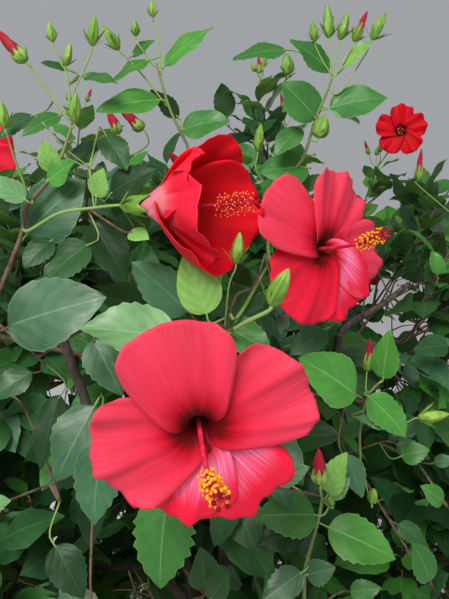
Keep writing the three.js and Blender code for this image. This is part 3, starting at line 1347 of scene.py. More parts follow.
@dataclass
class FoliageMass:
    """One mass of foliage: limbs that branch on from its bough, twigs, and the leaves set round them."""

    node: str
    bough_radius: float
    seed: int
    twigs: int = 32
    limbs: int = 6
    margin: float = 0.052
    chance: random.Random = field(init=False)
    centre: Vector = field(init=False)
    walls: BVHTree = field(init=False)
    tips: list[tuple[Vector, Vector]] = field(init=False, default_factory=list)
    bloom_spot: Vector | None = field(init=False, default=None)

    def __post_init__(self) -> None:
        """Reads the mass's own solid."""
        self.chance = random.Random(self.seed)
        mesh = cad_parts[self.node].data
        points = [vertex.co.copy() for vertex in mesh.vertices]
        self.centre = mean_of(points)
        self.walls = BVHTree.FromPolygons(points, [tuple(face.vertices) for face in mesh.polygons])

    def reach(self, way: Vector) -> float:
        """How far the mass reaches from its centre."""
        return self.walls.ray_cast(self.centre, way)[3] or 0.15

    def entry(self) -> tuple[Vector, Vector]:
        """Finds where the bough enters the mass.

        Returns:
            The middle of the bough's end and the way it runs.
        """
        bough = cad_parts[self.node.replace("foliage", "bough")]
        points = [vertex.co.copy() for vertex in bough.data.vertices]
        nearest = min((point - self.centre).length for point in points)
        start = mean_of([point for point in points if (point - self.centre).length < nearest + 0.014])
        before = [point for point in points if 0.03 < (point - start).length < 0.11]
        inward = (self.centre - start).normalized()
        way = (start - mean_of(before)).normalized() if before else inward
        return start, (way + inward).normalized()

    def outward(self) -> Vector:
        """The way from the middle of the plant out through the mass."""
        flat = Vector((self.centre.x, self.centre.y, 0.0))
        return (flat.normalized() + UP * 0.35).normalized() if flat.length > 0.1 else UP.copy()

    def grow(self, sprigs: Sprigs) -> None:
        """Branches limbs and twigs out through the mass and sets leaves on them.

        Args:
            sprigs: grows them.
        """
        start, way = self.entry()
        span = (self.centre - start).length
        stations = [start - way * 0.006, start + way * span * 0.4, start.lerp(self.centre, 0.92)]
        leader = sprigs.limb(stations, 8, (self.bough_radius, self.bough_radius * 0.62), Wood.TWIG, 7)
        out = self.outward()
        ends = []
        for direction in even_directions(self.twigs + 12, self.chance):
            facing = direction.dot(out)
            if facing < -0.45 or (facing < -0.1 and self.chance.random() < 0.5):
                continue
            ends.append(self.centre + direction * max(0.05, self.reach(direction) - self.margin))
        hubs = self.spread(ends)
        groups: dict[int, list[Vector]] = {}
        for end in ends:
            nearest = min(range(len(hubs)), key=lambda i: (hubs[i] - end).length)
            groups.setdefault(nearest, []).append(end)
        for index, group in groups.items():
            self.limb(index, group, leader, sprigs)

    def spread(self, ends: Sequence[Vector]) -> list[Vector]:
        """Picks a few ends that are far from each other.

        Args:
            ends: the ends of all twigs.

        Returns:
            Those picked.
        """
        hubs = [ends[0]]
        while len(hubs) < min(self.limbs, len(ends)):
            hubs.append(max(ends, key=lambda end: min((end - hub).length for hub in hubs)))
        return hubs

    def limb(self, index: int, group: list[Vector], leader: Sequence[Vector], sprigs: Sprigs) -> None:
        """Grows one limb and its twigs.

        Args:
            index: its order on the leader.
            group: where its twigs end.
            leader: what it branches from.
            sprigs: grows it.
        """
        chance = self.chance
        fork, way = along_line(leader, 0.45 + 0.55 * (index + chance.random()) / self.limbs)
        hub = fork.lerp(mean_of(group), 0.55) + UP * 0.012 + jitter(chance, 0.006)
        arc = fork.lerp(hub, 0.45) + way * 0.02 + jitter(chance, 0.005)
        thick = self.bough_radius * 0.55
        line = sprigs.limb([fork, arc, hub], 6, (thick, thick * 0.62), Wood.TWIG, 6, 0.15)
        for end in group:
            foot, heading = along_line(line, chance.uniform(0.35, 1.0))
            span = (end - foot).length
            lift = UP * span * chance.uniform(0.02, 0.14)
            bow = foot.lerp(end, 0.5) + heading * span * 0.08 - lift * 0.6 + jitter(chance, 0.005)
            twig = sprigs.twig([foot, bow, end + lift * 0.4], 7, (0.0021, 0.0011))
            self.tips.append((twig[-1], last_way(twig)))
            if span > 0.085 and chance.random() < 0.8:
                self.side_twig(twig, sprigs)

    def side_twig(self, twig: Sequence[Vector], sprigs: Sprigs) -> None:
        """Grows a short twig out of the side of another.

        Args:
            twig: what it grows from.
            sprigs: grows it.
        """
        chance = self.chance
        foot, way = along_line(twig, chance.uniform(0.3, 0.7))
        side = across(jitter(chance, 1.0) + (foot - self.centre).normalized(), way)
        end = foot + (way * 0.6 + side * 0.8 + UP * 0.15).normalized() * chance.uniform(0.045, 0.075)
        sprigs.twig([foot, foot.lerp(end, 0.5) + way * 0.006, end], 4, (0.0015, 0.0009))


@dataclass
class BarkedLimb:
    """The stem or a bough, with bark's relief raised on a copy of its solid."""

    node: str
    relief: float
    finish: Wood = Wood.OLD
    cuts: int = 2

    def piece(self) -> None:
        """Makes the piece that stands for the limb."""
        shape = bmesh.new()
        shape.from_mesh(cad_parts[self.node].data)
        bmesh.ops.remove_doubles(shape, verts=shape.verts[:], dist=WELD)
        bmesh.ops.subdivide_edges(shape, edges=shape.edges[:], cuts=self.cuts, use_grid_fill=True, smooth=0.35)
        shape.normal_update()
        moves = []
        for vertex in shape.verts:
            place = vertex.co
            ridge = noise.noise(Vector((place.x * 75.0, place.y * 75.0, place.z * 11.0)))
            lift = self.relief * (0.7 * ridge + 0.6 * noise.noise(place * 26.0))
            moves.append(vertex.normal * (lift if place.z > 0.004 else 0.0))
        for vertex, move in zip(shape.verts, moves):
            vertex.co += move
            vertex.co.z = max(vertex.co.z, 0.0)
        mesh = mesh_of(shape, f"{self.node}_bark", self.finish.value.material())
        mesh.polygons.foreach_set("use_smooth", [True] * len(mesh.polygons))
        made = into_scene(mesh.name, mesh)
        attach(made, BODY)
        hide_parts(self.node)
        log.info("%s: %d faces", mesh.name, len(mesh.polygons))


@dataclass(frozen=True)
class BloomFrame:
    """Where a bloom's base is and which way it faces, with its own right and up as seen from the front."""

    base: Vector
    faces: Vector

    @property
    def upward(self) -> Vector:
        """The bloom's up."""
        return across(UP, self.faces)

    @property
    def right(self) -> Vector:
        """The bloom's right."""
        return self.upward.cross(self.faces)

    def outward(self, bearing: float) -> Vector:
        """The way out from the middle at a bearing in radians, anticlockwise from the right."""
        return self.right * math.cos(bearing) + self.upward * math.sin(bearing)


@dataclass(frozen=True)
class Petal:
    """One petal: a fan that climbs the throat, flares and ripples at its rim. Angles are degrees."""

    bearing: float
    reach: float = 0.086
    spread: float = 40.0
    throat: float = 12.0
    flare: float = 88.0
    opens: float = 0.10
    opening: float = 0.42
    curls: float = 0.65
    curling: float = 0.40
    recurve: float = 14.0
    lap: float = -0.0030
    lift: float = 0.0
    ruffle: float = 0.0034
    waves: float = 2.4
    crease: float = 0.0009
    phase: float = 0.0
    point: float = 0.0
    skew: float = 0.0
    hug: float = 0.15
    finish: Corolla = Corolla.OPEN
    claw: float = 0.0035
    thickness: float = 0.0005

    def slope(self, share: float) -> float:
        """Finds the angle from the bloom's axis.

        Args:
            share: how far along the petal, from 0 to 1.

        Returns:
            The angle in radians.
        """
        opened = smoothstep(self.opens, self.opening, share)
        curled = smoothstep(self.curls, self.curls + self.curling, share)
        return math.radians(self.throat + (self.flare - self.throat) * opened + self.recurve * curled)

    @lru_cache(maxsize=None)
    def profile(self) -> tuple[np.ndarray, np.ndarray, np.ndarray]:
        """Follows the petal's middle line.

        Returns:
            Even distances along it, and at each its distance from the axis and its height.
        """
        runs = np.linspace(0.0, 1.15 * self.reach, 70)
        angles = np.array([self.slope(run / self.reach) for run in runs[:-1]])
        radial = self.claw + np.concatenate([[0.0], np.cumsum(np.sin(angles))]) * runs[1]
        return runs, radial, np.concatenate([[0.0], np.cumsum(np.cos(angles))]) * runs[1]

    def edge(self, side: float) -> float:
        """Finds how far the petal reaches.

        Args:
            side: the share across, from -1 to 1.

        Returns:
            The distance from the axis to its rim.
        """
        notch = 0.011 * math.sin(8.0 * side + self.phase) + 0.005 * math.sin(21.0 * side + 2.0 * self.phase)
        peak = self.point * (1.0 - abs(side)) ** 2
        return self.reach * (1.0 - 0.10 * side * side - 0.10 * side**8 + self.skew * side + notch + peak)

    def rise(self, side: float, along: float) -> float:
        """Finds how high the petal's ripples, creases and overlap lift it.

        Args:
            side: the share across, from -1 to 1.
            along: the share from claw to rim.

        Returns:
            The height over its middle line.
        """
        ripple = self.ruffle * along**3 * math.sin(self.waves * math.pi * side + self.phase)
        frill = 0.35 * self.ruffle * along**6 * math.sin(3.1 * self.waves * math.pi * side + 2.2 * self.phase)
        overlap = self.lap * side * smoothstep(0.1, 0.5, along)
        fold = self.crease * smoothstep(0.25, 0.9, along) * math.sin(5.3 * math.pi * side + 1.7 * self.phase)
        return ripple + frill + fold + overlap + self.lift * smoothstep(0.2, 0.6, along)

    def place(self, stand: BloomFrame, side: float, along: float) -> Vector:
        """Finds a point of the petal.

        Args:
            stand: the bloom's frame.
            side: the share across, from -1 to 1.
            along: the share from claw to rim.

        Returns:
            The point.
        """
        turn = side * math.radians(self.spread) * (1.0 - 0.10 * along**6)
        distance = along * self.edge(side)
        waist = 0.36 + 0.64 * smoothstep(0.14, 0.52, along)
        run, offset = distance * math.cos(turn), waist * distance * math.sin(turn) + self.claw * 0.7 * side
        runs, radials, heights = self.profile()
        radial, height = float(np.interp(run, runs, radials)), float(np.interp(run, runs, heights))
        share = run / self.reach
        wrap = (1.0 - (1.0 - self.hug) * smoothstep(0.18, 0.62, share)) / max(radial, 0.004)
        angle, rise = self.slope(share), self.rise(side, along)
        inward = (1.0 - math.cos(wrap * offset)) / wrap
        bearing = math.radians(self.bearing)
        level = stand.base + stand.faces * (height + rise * math.sin(angle))
        out = stand.outward(bearing) * (radial - inward - rise * math.cos(angle))
        return level + out + stand.outward(bearing - math.pi / 2.0) * (math.sin(wrap * offset) / wrap)

    def template(self, stand: BloomFrame, columns: int, rows: int) -> Template:
        """Builds the petal, with its thickness, in the plant's frame.

        Args:
            stand: the bloom's frame.
            columns: faces across.
            rows: faces along.

        Returns:
            The petal.
        """
        shape = flat_sheet(columns, rows)
        for vertex in shape.verts:
            vertex.co = self.place(stand, vertex.co.x, vertex.co.y)
        shape.normal_update()
        fronts = len(shape.faces)
        bmesh.ops.solidify(shape, geom=shape.faces[:], thickness=self.thickness)
        made = Template.of(shape)
        made.backs = np.arange(len(made.sides)) >= fronts
        return made


@dataclass(frozen=True)
class Column:
    """The long tube of stamens that stands out of the throat, with stigmas at its end."""

    length: float = 0.086
    radius: float = 0.0013
    stamens: int = 92
    filament: float = 0.0062
    thin: float = 0.00028
    anther: float = 0.0010
    pollen: Skin = Skin.ANTHER
    stigmas: int = 5
    stigma: float = 0.0015
    sag: Vector = field(default_factory=Vector)
    bend: Vector = field(default_factory=Vector)

    def build(self, stand: BloomFrame, parts: Gathering, chance: random.Random) -> None:
        """Builds the column.

        Args:
            stand: the bloom's frame.
            parts: takes its parts.
            chance: scatters the stamens.
        """
        middle = stand.base + stand.faces * self.length * 0.60 + self.sag
        tip = stand.base + stand.faces * self.length * 0.96 + self.bend
        stations = [stand.base + stand.faces * 0.002, middle, tip]
        line = parts.tube(stations, 12, (self.radius * 1.5, self.radius * 0.8), Skin.COLUMN, 9)
        ball, hair = bead_template(1), tube_template(3, 1)
        for index in range(self.stamens):
            foot, way = along_line(line, 0.66 + 0.31 * (index + chance.random()) / self.stamens)
            lean = (round_way(way, index * GOLDEN_TURN) + way * chance.uniform(0.1, 0.7)).normalized()
            reach = self.filament * chance.uniform(0.75, 1.2)
            parts.place(hair, foot, upright_axes(lean), np.array([self.thin, self.thin, reach]), Skin.COLUMN)
            size = self.anther * chance.uniform(0.85, 1.15)
            squat = np.array([size * 1.35, size, size * 0.8])
            axes = upright_axes(lean, chance.random() * 3.0)
            parts.place(ball, foot + lean * reach, axes, squat, self.pollen)
        end, way = along_line(line, 1.0)
        for index in range(self.stigmas):
            side = round_way(way, index * math.tau / self.stigmas + 0.4)
            arc = [end - way * 0.003, end + way * 0.002 + side * 0.002, end + way * 0.004 + side * 0.0044]
            style = parts.tube(arc, 3, (0.0006, 0.0005), Skin.COLUMN)
            parts.place(bead_template(2), style[-1], upright_axes(way), self.stigma, Skin.STIGMA)


@lru_cache(maxsize=None)
def bract_template() -> Template:
    """A narrow bract of length 1."""
    return LeafBlade(4, 2, 0, 0.20, fold=0.3, droop=0.0, wave=0.0, petiole=0.0).template()


@lru_cache(maxsize=None)
def calyx_template() -> Template:
    """Makes the green cup under an open bloom, with five points.

    Returns:
        The cup, of length 1, its foot at the origin and its mouth up.
    """
    shape = ringed_tube(20, 6, False)
    for vertex in shape.verts:
        share = vertex.co.z + 0.5
        angle = math.atan2(vertex.co.y, vertex.co.x)
        point = 1.0 - abs(math.sin(2.5 * angle)) ** 0.8
        radius = 0.09 + 0.15 * smoothstep(0.0, 0.5, share) + 0.12 * share * share * point
        vertex.co = (radius * math.cos(angle), radius * math.sin(angle), share * (0.62 + 0.38 * point))
    shape.normal_update()
    bmesh.ops.solidify(shape, geom=shape.faces[:], thickness=0.02)
    return Template.of(shape)


@lru_cache(maxsize=None)
def bud_template(ribs: float, twist: float) -> Template:
    """Makes a closed pointed bud.

    Args:
        ribs: how strongly it is ribbed.
        twist: how far it is wound, in radians.

    Returns:
        The bud, of length 1 and radius 1, its foot at the origin and its tip up.
    """
    shape = bmesh.new()
    bmesh.ops.create_uvsphere(shape, u_segments=20, v_segments=10, radius=1.0)
    for vertex in shape.verts:
        share = (vertex.co.z + 1.0) / 2.0
        angle = math.atan2(vertex.co.y, vertex.co.x)
        radius = 2.264 * share**0.45 * max(1.0 - share, 0.0) ** 0.8
        radius *= 1.0 + ribs * (1.0 - 2.0 * abs(math.sin(2.5 * angle)))
        wound = angle + twist * share
        vertex.co = (radius * math.cos(wound), radius * math.sin(wound), share)
    return Template.of(shape)


@dataclass(frozen=True)
class Bud:
    """A bud in its ribbed calyx, with a whorl of narrow bracts. Showing petals stand out of its tip."""

    length: float = 0.020
    radius: float = 0.0042
    showing: float = 0.0
    bracts: int = 6

    def build(
        self, foot: Vector, way: Vector, green: Gathering, petals: Gathering, chance: random.Random
    ) -> None:
        """Builds the bud.

        Args:
            foot: where it stands.
            way: which way it points.
            green: takes its calyx and bracts.
            petals: takes the petals that show.
            chance: turns its bracts.
        """
        axes = upright_axes(way, chance.random() * math.tau)
        size = np.array([self.radius, self.radius, self.length])
        green.place(bud_template(0.20, 0.25), foot, axes, size, Skin.CALYX)
        if self.showing:
            inner = np.array([self.radius * 0.8, self.radius * 0.8, self.length * (1.0 + self.showing)])
            petals.place(bud_template(0.16, 1.9), foot + way * 0.001, axes, inner, Corolla.SHUT)
        for index in range(self.bracts):
            side = round_way(way, index * math.tau / self.bracts + chance.uniform(-0.15, 0.15))
            along = (way * chance.uniform(0.6, 1.0) + side * 0.7).normalized()
            reach = self.length * chance.uniform(0.5, 0.75)
            start = foot + side * self.radius * 0.35
            green.place(bract_template(), start, axes_of(along, way - side * 0.8), reach, Skin.CALYX)


@dataclass
class FlowerParts:
    """What the parts of one bloom, or of many, are gathered in."""

    petals: Gathering
    stamens: Gathering
    green: Gathering

    def pieces(self) -> None:
        """Makes the pieces."""
        for parts in (self.petals, self.stamens, self.green):
            parts.piece()


@dataclass
class Bloom:
    """An open bloom: petals, column, calyx and the stalk that carries it."""

    name: str
    base: Station
    faces: Station
    petals: Sequence[Petal]
    stalk: Sequence[Station] = ()
    column: Column = Column()
    columns: int = 18
    rows: int = 22
    calyx: float = 0.017
    bracts: int = 7
    seed: int = 1

    @property
    def stand(self) -> BloomFrame:
        """The bloom's frame."""
        return BloomFrame(Vector(self.base), Vector(self.faces).normalized())

    @property
    def clearing(self) -> Clearing:
        """The space that leaves keep out of."""
        reach = max(petal.reach for petal in self.petals)
        return Clearing(self.stand.base + self.stand.faces * reach * 0.55, reach * 0.95)

    def flower(self, parts: FlowerParts) -> None:
        """Builds the petals, the column, the calyx and its bracts.

        Args:
            parts: takes them.
        """
        chance = random.Random(self.seed)
        stand = self.stand
        for petal in self.petals:
            shape = petal.template(stand, self.columns, self.rows)
            parts.petals.add(shape.points, shape, petal.finish, Corolla.BACK)
        self.column.build(stand, parts.stamens, chance)
        foot = stand.base - stand.faces * self.calyx * 0.58
        parts.green.place(calyx_template(), foot, upright_axes(stand.faces, 0.3), self.calyx, Skin.CALYX)
        for index in range(self.bracts):
            side = Matrix.Rotation(index * math.tau / self.bracts, 3, stand.faces) @ stand.upward
            axes = axes_of((stand.faces * 0.75 + side * 0.8).normalized(), stand.faces - side)
            size = self.calyx * chance.uniform(0.7, 0.95)
            parts.green.place(bract_template(), foot + side * 0.0022, axes, size, Skin.CALYX)

    def stem(self, green: Gathering, skeleton: Skeleton) -> None:
        """Builds the stalk, from the calyx back along its route to the wood.

        Args:
            green: takes the stalk.
            skeleton: what it grows from.
        """
        stand = self.stand
        route = [stand.base - stand.faces * self.calyx * 0.54, *(Vector(place) for place in self.stalk)]
        route.append(skeleton.nearest(route[-1], behind=True))
        skeleton.add(green.tube(route, 22, (0.0012, 0.0015), Skin.GREEN, 8)[14:])

    def build(self, skeleton: Skeleton) -> None:
        """Builds the bloom as its own pieces, in place of its nodes.

        Args:
            skeleton: what its stalk grows from.
        """
        parts = FlowerParts(
            Gathering(f"petals_{self.name}", "petals", [f"bloom_{self.name}"]),
            Gathering(f"stamens_{self.name}", "petals", [f"bloom_{self.name}"]),
            Gathering(f"calyx_{self.name}", "stalk", [f"stalk_{self.name}"]),
        )
        self.flower(parts)
        self.stem(parts.green, skeleton)
        parts.pieces()


def plain_petals(size: float, openness: float, chance: random.Random) -> list[Petal]:
    """Makes the five petals of a bloom that the picture doesn't show.

    Args:
        size: its size, 1 for the largest.
        openness: 1 where it lies flat and less where it is a funnel.
        chance: varies them.

    Returns:
        The petals.
    """
    start = chance.uniform(0.0, 72.0)
    return [
        Petal(
            start + 72.0 * index + chance.uniform(-5.0, 5.0),
            reach=0.084 * size * chance.uniform(0.95, 1.05),
            flare=42.0 + 46.0 * openness + chance.uniform(-6.0, 6.0),
            phase=chance.uniform(0.0, 6.0),
            recurve=chance.uniform(6.0, 22.0),
            finish=chance.choice((Corolla.OPEN, Corolla.DEEP, Corolla.OPEN, Corolla.STREAKED)),
        )
        for index in range(5)
    ]


@dataclass
class CrownFlowers:
    """The blooms and buds that twigs all round the crown end in."""

    seed: int = 90
    bud_share: float = 0.10
    chance: random.Random = field(init=False)
    parts: FlowerParts = field(init=False)

    def __post_init__(self) -> None:
        """Starts the joined pieces."""
        self.chance = random.Random(self.seed)
        self.parts = FlowerParts(
            Gathering("crown_petals", "petals"),
            Gathering("crown_stamens", "petals"),
            Gathering("crown_calyxes", "stalk"),
        )

    def bloom(self, twig_end: Vector, way: Vector, outward: Vector) -> None:
        """Opens a bloom at the end of a twig.

        Args:
            twig_end: where the twig ends.
            way: the way it runs.
            outward: the way out of the crown.
        """
        chance = self.chance
        faces = (outward + UP * 0.15 + jitter(chance, 0.18)).normalized()
        base = twig_end + faces * 0.020
        stations = [twig_end, twig_end + way * 0.006, base - faces * 0.004]
        self.parts.green.tube(stations, 5, (0.0017, 0.0015), Skin.GREEN, 6)
        petals = plain_petals(chance.uniform(0.80, 0.95), chance.uniform(0.7, 1.0), chance)
        column, seed = Column(length=0.066, stamens=40), chance.randrange(1000)
        bloom = Bloom("crown", tuple(base), tuple(faces), petals, (), column, 8, 10, seed=seed)
        bloom.flower(self.parts)

    def bud(self, twig_end: Vector, way: Vector) -> None:
        """Sets a bud on a short stalk at the end of a twig.

        Args:
            twig_end: where the twig ends.
            way: the way it runs.
        """
        chance, green = self.chance, self.parts.green
        rise = (way + UP * 0.9 + jitter(chance, 0.2)).normalized()
        end = twig_end + rise * chance.uniform(0.02, 0.035)
        line = green.tube([twig_end, twig_end + way * 0.008, end], 5, (0.0010, 0.0009), Skin.GREEN)
        showing = chance.choice((0.0, 0.0, 0.35, 0.6))
        bud = Bud(chance.uniform(0.014, 0.022), chance.uniform(0.0034, 0.0045), showing)
        bud.build(end, last_way(line), green, self.parts.petals, chance)


class ShootParts:
    """What the parts of one shoot are gathered in."""

    def __init__(self, name: str, nodes: Sequence[str]) -> None:
        """Starts the pieces.

        Args:
            name: the shoot's name.
            nodes: the nodes that it stands for.
        """
        self.wood = Gathering(f"{name}_stems", "stalk", nodes)
        self.leaves = Gathering(f"{name}_leaves", "foliage", nodes)
        self.green = Gathering(f"{name}_buds", "stalk", nodes)
        self.petals = Gathering(f"{name}_bud_petals", "petals", nodes)

    def pieces(self) -> None:
        """Makes the pieces."""
        for parts in (self.wood, self.leaves, self.green, self.petals):
            parts.piece()


@dataclass
class GrownShoot:
    """A leafy shoot that stands out of the crown where the picture doesn't show one closely."""

    node: str
    seed: int
    branches: int = 6
    buds: int = 3
    spacing: float = 0.021
    corners: int = 4

    def build(self, grove: Grove) -> None:
        """Builds the shoot's stem, leaves and buds in place of its node.

        Args:
            grove: what it grows in.
        """
        chance = random.Random(self.seed)
        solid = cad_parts[self.node].data
        points = sorted((vertex.co.copy() for vertex in solid.vertices), key=lambda place: place.z)
        foot = mean_of(points[: self.corners])
        tip = foot.lerp(mean_of(points[-self.corners :]), 0.90)
        bow = foot.lerp(tip, 0.5) + jitter(chance, 0.012)
        heart = foot.lerp(tip, 0.2) - UP * 0.1
        parts = ShootParts(self.node, [self.node])
        sprigs = Sprigs(grove, parts.wood, parts.leaves, chance, heart, Detail.NEAR, self.spacing)
        sprigs.lengths, sprigs.first = (0.052, 0.076), 0.12
        stations = [grove.skeleton.nearest(foot), foot.lerp(bow, 0.15), bow, tip]
        stem = sprigs.twig(stations, 14, (0.0030, 0.0013), 6, chance.choice((FULL, DEEP, BRIGHT)))
        for _ in range(self.branches):
            fork, way = along_line(stem, chance.uniform(0.15, 0.75))
            side = across(jitter(chance, 1.0), way)
            end = fork + (way * 0.9 + side * 0.75).normalized() * chance.uniform(0.06, 0.10)
            sprigs.twig([fork, fork.lerp(end, 0.5) + side * 0.006, end], 6, (0.0018, 0.0010), 5)
        for index in range(self.buds):
            end = tip + (UP + jitter(chance, 0.35)).normalized() * chance.uniform(0.02, 0.04)
            stations = [tip, tip.lerp(end, 0.5) + jitter(chance, 0.003), end]
            stalk = parts.green.tube(stations, 5, (0.0010, 0.0009), Skin.GREEN)
            bud = Bud(chance.uniform(0.016, 0.023), chance.uniform(0.0035, 0.0046), 0.0 if index else 0.5)
            bud.build(end, last_way(stalk), parts.green, parts.petals, chance)
        parts.pieces()


@dataclass(frozen=True)
class BackSprays:
    """Sprays behind the closely seen shoots, grown up from the wood into one window of the picture."""

    count: int
    across_px: Span
    down_px: Span
    depths: Span
    tones: Sequence[Leafage]
    seed: int

    def build(self, wood: Gathering, leaves: Gathering, grove: Grove) -> None:
        """Grows the sprays.

        Args:
            wood: takes their twigs.
            leaves: takes their leaves.
            grove: what they grow in.
        """
        chance = random.Random(self.seed)
        sprigs = Sprigs(grove, wood, leaves, chance, spacing=0.0125, lengths=(0.052, 0.080), first=0.2)
        for _ in range(self.count):
            window = (self.across_px, self.down_px, self.depths)
            tip = LENS.at(*(chance.uniform(*limits) for limits in window))
            sprigs.heart = foot = grove.skeleton.nearest(tip - UP * 0.10)
            middle = foot.lerp(tip, 0.5) + jitter(chance, 0.008) - UP * 0.006
            sprigs.twig([foot, middle, tip], 8, (0.0022, 0.0011), tone=chance.choice(self.tones))


@dataclass(frozen=True)
class GapSprays:
    """Sprays that fill what the masses leave open between them, a little way in from the crown's outside."""

    seed: int = 71
    trials: int = 16000
    apart: float = 0.055
    sunk: Span = (0.050, 0.200)
    clear_of_stem: float = 0.13
    wide: Span = (-0.6, 0.6)
    deep: Span = (-0.7, 0.7)
    high: Span = (0.40, 1.35)
    middle: Station = (0.0, 0.0, 0.8)

    def planes(self) -> tuple[np.ndarray, np.ndarray]:
        """Finds the faces of the hull round all masses.

        Returns:
            Their normals and how far out they stand.
        """
        shape = bmesh.new()
        for name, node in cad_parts.items():
            if name.startswith("foliage"):
                shape.from_mesh(node.data)
        hull = bmesh.ops.convex_hull(shape, input=shape.verts[:])["geom"]
        faces = [part for part in hull if isinstance(part, bmesh.types.BMFace)]
        shape.normal_update()
        normals = np.array([face.normal for face in faces])
        levels = np.array([face.normal.dot(face.verts[0].co) for face in faces])
        flip = np.where(normals @ np.array(self.middle) > levels, -1.0, 1.0)
        shape.free()
        return normals * flip[:, None], levels * flip

    def places(self, skeleton: Skeleton, chance: random.Random) -> list[Vector]:
        """Finds open places near the crown's outside.

        Args:
            skeleton: the wood that is there already.
            chance: draws the places.

        Returns:
            The places.
        """
        normals, levels = self.planes()
        found: list[Vector] = []
        for _ in range(self.trials):
            place = Vector([chance.uniform(*limits) for limits in (self.wide, self.deep, self.high)])
            depth = float(np.min(levels - normals @ np.array(place)))
            near_stem = math.hypot(place.x, place.y) < self.clear_of_stem and place.z < 1.0
            if near_stem or LENS.shows(place) or not self.sunk[0] < depth < self.sunk[1]:
                continue
            if (skeleton.nearest(place) - place).length < self.apart:
                continue
            if all((place - other).length > self.apart for other in found):
                found.append(place)
        return found

    def build(self, wood: Gathering, leaves: Gathering, grove: Grove) -> None:
        """Grows a spray to each open place.

        Args:
            wood: takes their twigs.
            leaves: takes their leaves.
            grove: what they grow in.
        """
        chance = random.Random(self.seed)
        sprigs = Sprigs(grove, wood, leaves, chance, spacing=0.0120, first=0.15)
        places = self.places(grove.skeleton, chance)
        for place in places:
            sprigs.heart = foot = grove.skeleton.nearest(place)
            middle = foot.lerp(place, 0.5) + jitter(chance, 0.006)
            sprigs.twig([foot, middle, place + UP * 0.01], 7, (0.0019, 0.0010))
        log.info("%d sprays between the masses", len(places))


@dataclass(frozen=True)
class SeenLeaf:
    """A leaf that the picture shows: the pixels of its foot and tip, and how far from the lens it hangs."""

    foot: Pixel
    tip: Pixel
    depth: float
    tone: Leafage = FULL
    roll: float = 22.0
    lean: float = -0.010
    breadth: float = 0.64
    droop: float = 0.45
    fold: float = 0.24
    tooth: float = 0.15

    def blade(self, chance: random.Random) -> LeafBlade:
        """Draws what the picture leaves open of this one leaf.

        Args:
            chance: draws its twist and waves.

        Returns:
            Its shape.
        """
        return LeafBlade(
            *Detail.CLOSE.value, tooth=self.tooth, breadth=self.breadth, fold=self.fold, droop=self.droop,
            twist=chance.uniform(-0.2, 0.2), wave=chance.uniform(0.012, 0.034), quilt=0.002,
            phase=chance.random(), petiole=0.0,
        )

    def build(self, parts: ShootParts, skeleton: Skeleton, chance: random.Random) -> None:
        """Builds the leaf and the stalk that joins it to the nearest wood.

        Args:
            parts: takes the blade and the stalk.
            skeleton: the wood.
            chance: varies the blade.
        """
        foot = LENS.at(*self.foot, self.depth)
        span = LENS.at(*self.tip, self.depth + self.lean) - foot
        chord = span.normalized()
        toward = across(-LENS.forward, chord)
        side = chord.cross(toward)
        side = -side if side.dot(LENS.upward) < 0.0 else side
        roll = math.radians(self.roll)
        face = toward * math.cos(roll) + side * math.sin(roll)
        flat, drop = math.sin(self.droop) / self.droop, -(1.0 - math.cos(self.droop)) / self.droop
        arc = math.hypot(flat, drop)
        along = (chord * flat - face * drop) / arc
        top = (chord * drop + face * flat) / arc
        shape = self.blade(chance).template()
        parts.leaves.place(shape, foot, np.array([along.cross(top), along, top]), span.length / arc, self.tone)
        join_stalk(foot, along, parts.wood, skeleton)


LONGEST_PETIOLE = 0.045


def join_stalk(foot: Vector, along: Vector, stalks: Gathering, skeleton: Skeleton) -> None:
    """Joins the foot of a leaf to the nearest wood, by its own petiole or else by a young twig.

    Args:
        foot: where the blade starts.
        along: the way the blade runs.
        stalks: takes the stalk.
        skeleton: the wood.
    """
    wood = skeleton.nearest(foot - along * 0.012, behind=True)
    gap = (wood - foot).length
    bow = foot - along * min(0.012, 0.4 * gap) + LENS.forward * 0.04 * gap
    stations = [foot + along * 0.003, bow, wood]
    if gap < LONGEST_PETIOLE:
        stalks.tube(stations, 8, (0.0008, 0.0010), Skin.GREEN)
    else:
        skeleton.add(stalks.tube(stations, 8, (0.0009, 0.0015), Wood.YOUNG)[3:])


@dataclass(frozen=True)
class SeenStem:
    """A stem that the picture shows, from its low end up, with its radii in metres."""

    places: Sequence[Station]
    radii: Span = (0.0021, 0.0012)
    finish: Enum = Skin.SHOOT
    rooted: bool = True

    def build(self, parts: ShootParts, skeleton: Skeleton) -> None:
        """Builds the stem, grown from the wood behind it.

        Args:
            parts: takes the stem.
            skeleton: what it grows from and adds to.
        """
        stations = [LENS.at(*place) for place in self.places]
        if self.rooted:
            stations.insert(0, skeleton.nearest(stations[0], behind=True))
        skeleton.add(parts.wood.tube(stations, 6 + 4 * len(stations), self.radii, self.finish, 7))


@dataclass(frozen=True)
class SeenBud:
    """A bud that the picture shows: the pixels of its foot and tip, and those that its stalk passes."""

    foot: Pixel
    tip: Pixel
    depth: float
    stalk: Sequence[Station] = ()
    radius: float = 0.0042
    showing: float = 0.0
    thick: float = 0.0007

    def build(self, parts: ShootParts, skeleton: Skeleton, chance: random.Random) -> None:
        """Builds the bud and its stalk.

        Args:
            parts: takes them.
            skeleton: what the stalk grows from.
            chance: turns the bracts.
        """
        foot = LENS.at(*self.foot, self.depth)
        span = LENS.at(*self.tip, self.depth - 0.004) - foot
        way = span.normalized()
        bud = Bud(span.length / (1.0 + 0.6 * self.showing), self.radius, self.showing)
        bud.build(foot, way, parts.green, parts.petals, chance)
        route = [foot + way * 0.001, foot - way * 0.004, *(LENS.at(*place) for place in self.stalk)]
        route.append(skeleton.nearest(route[-1], behind=True))
        line = parts.green.tube(route, 5 * len(route), (self.thick, self.thick * 1.25), Skin.GREEN, 6)
        skeleton.add(line[len(line) // 2 :])


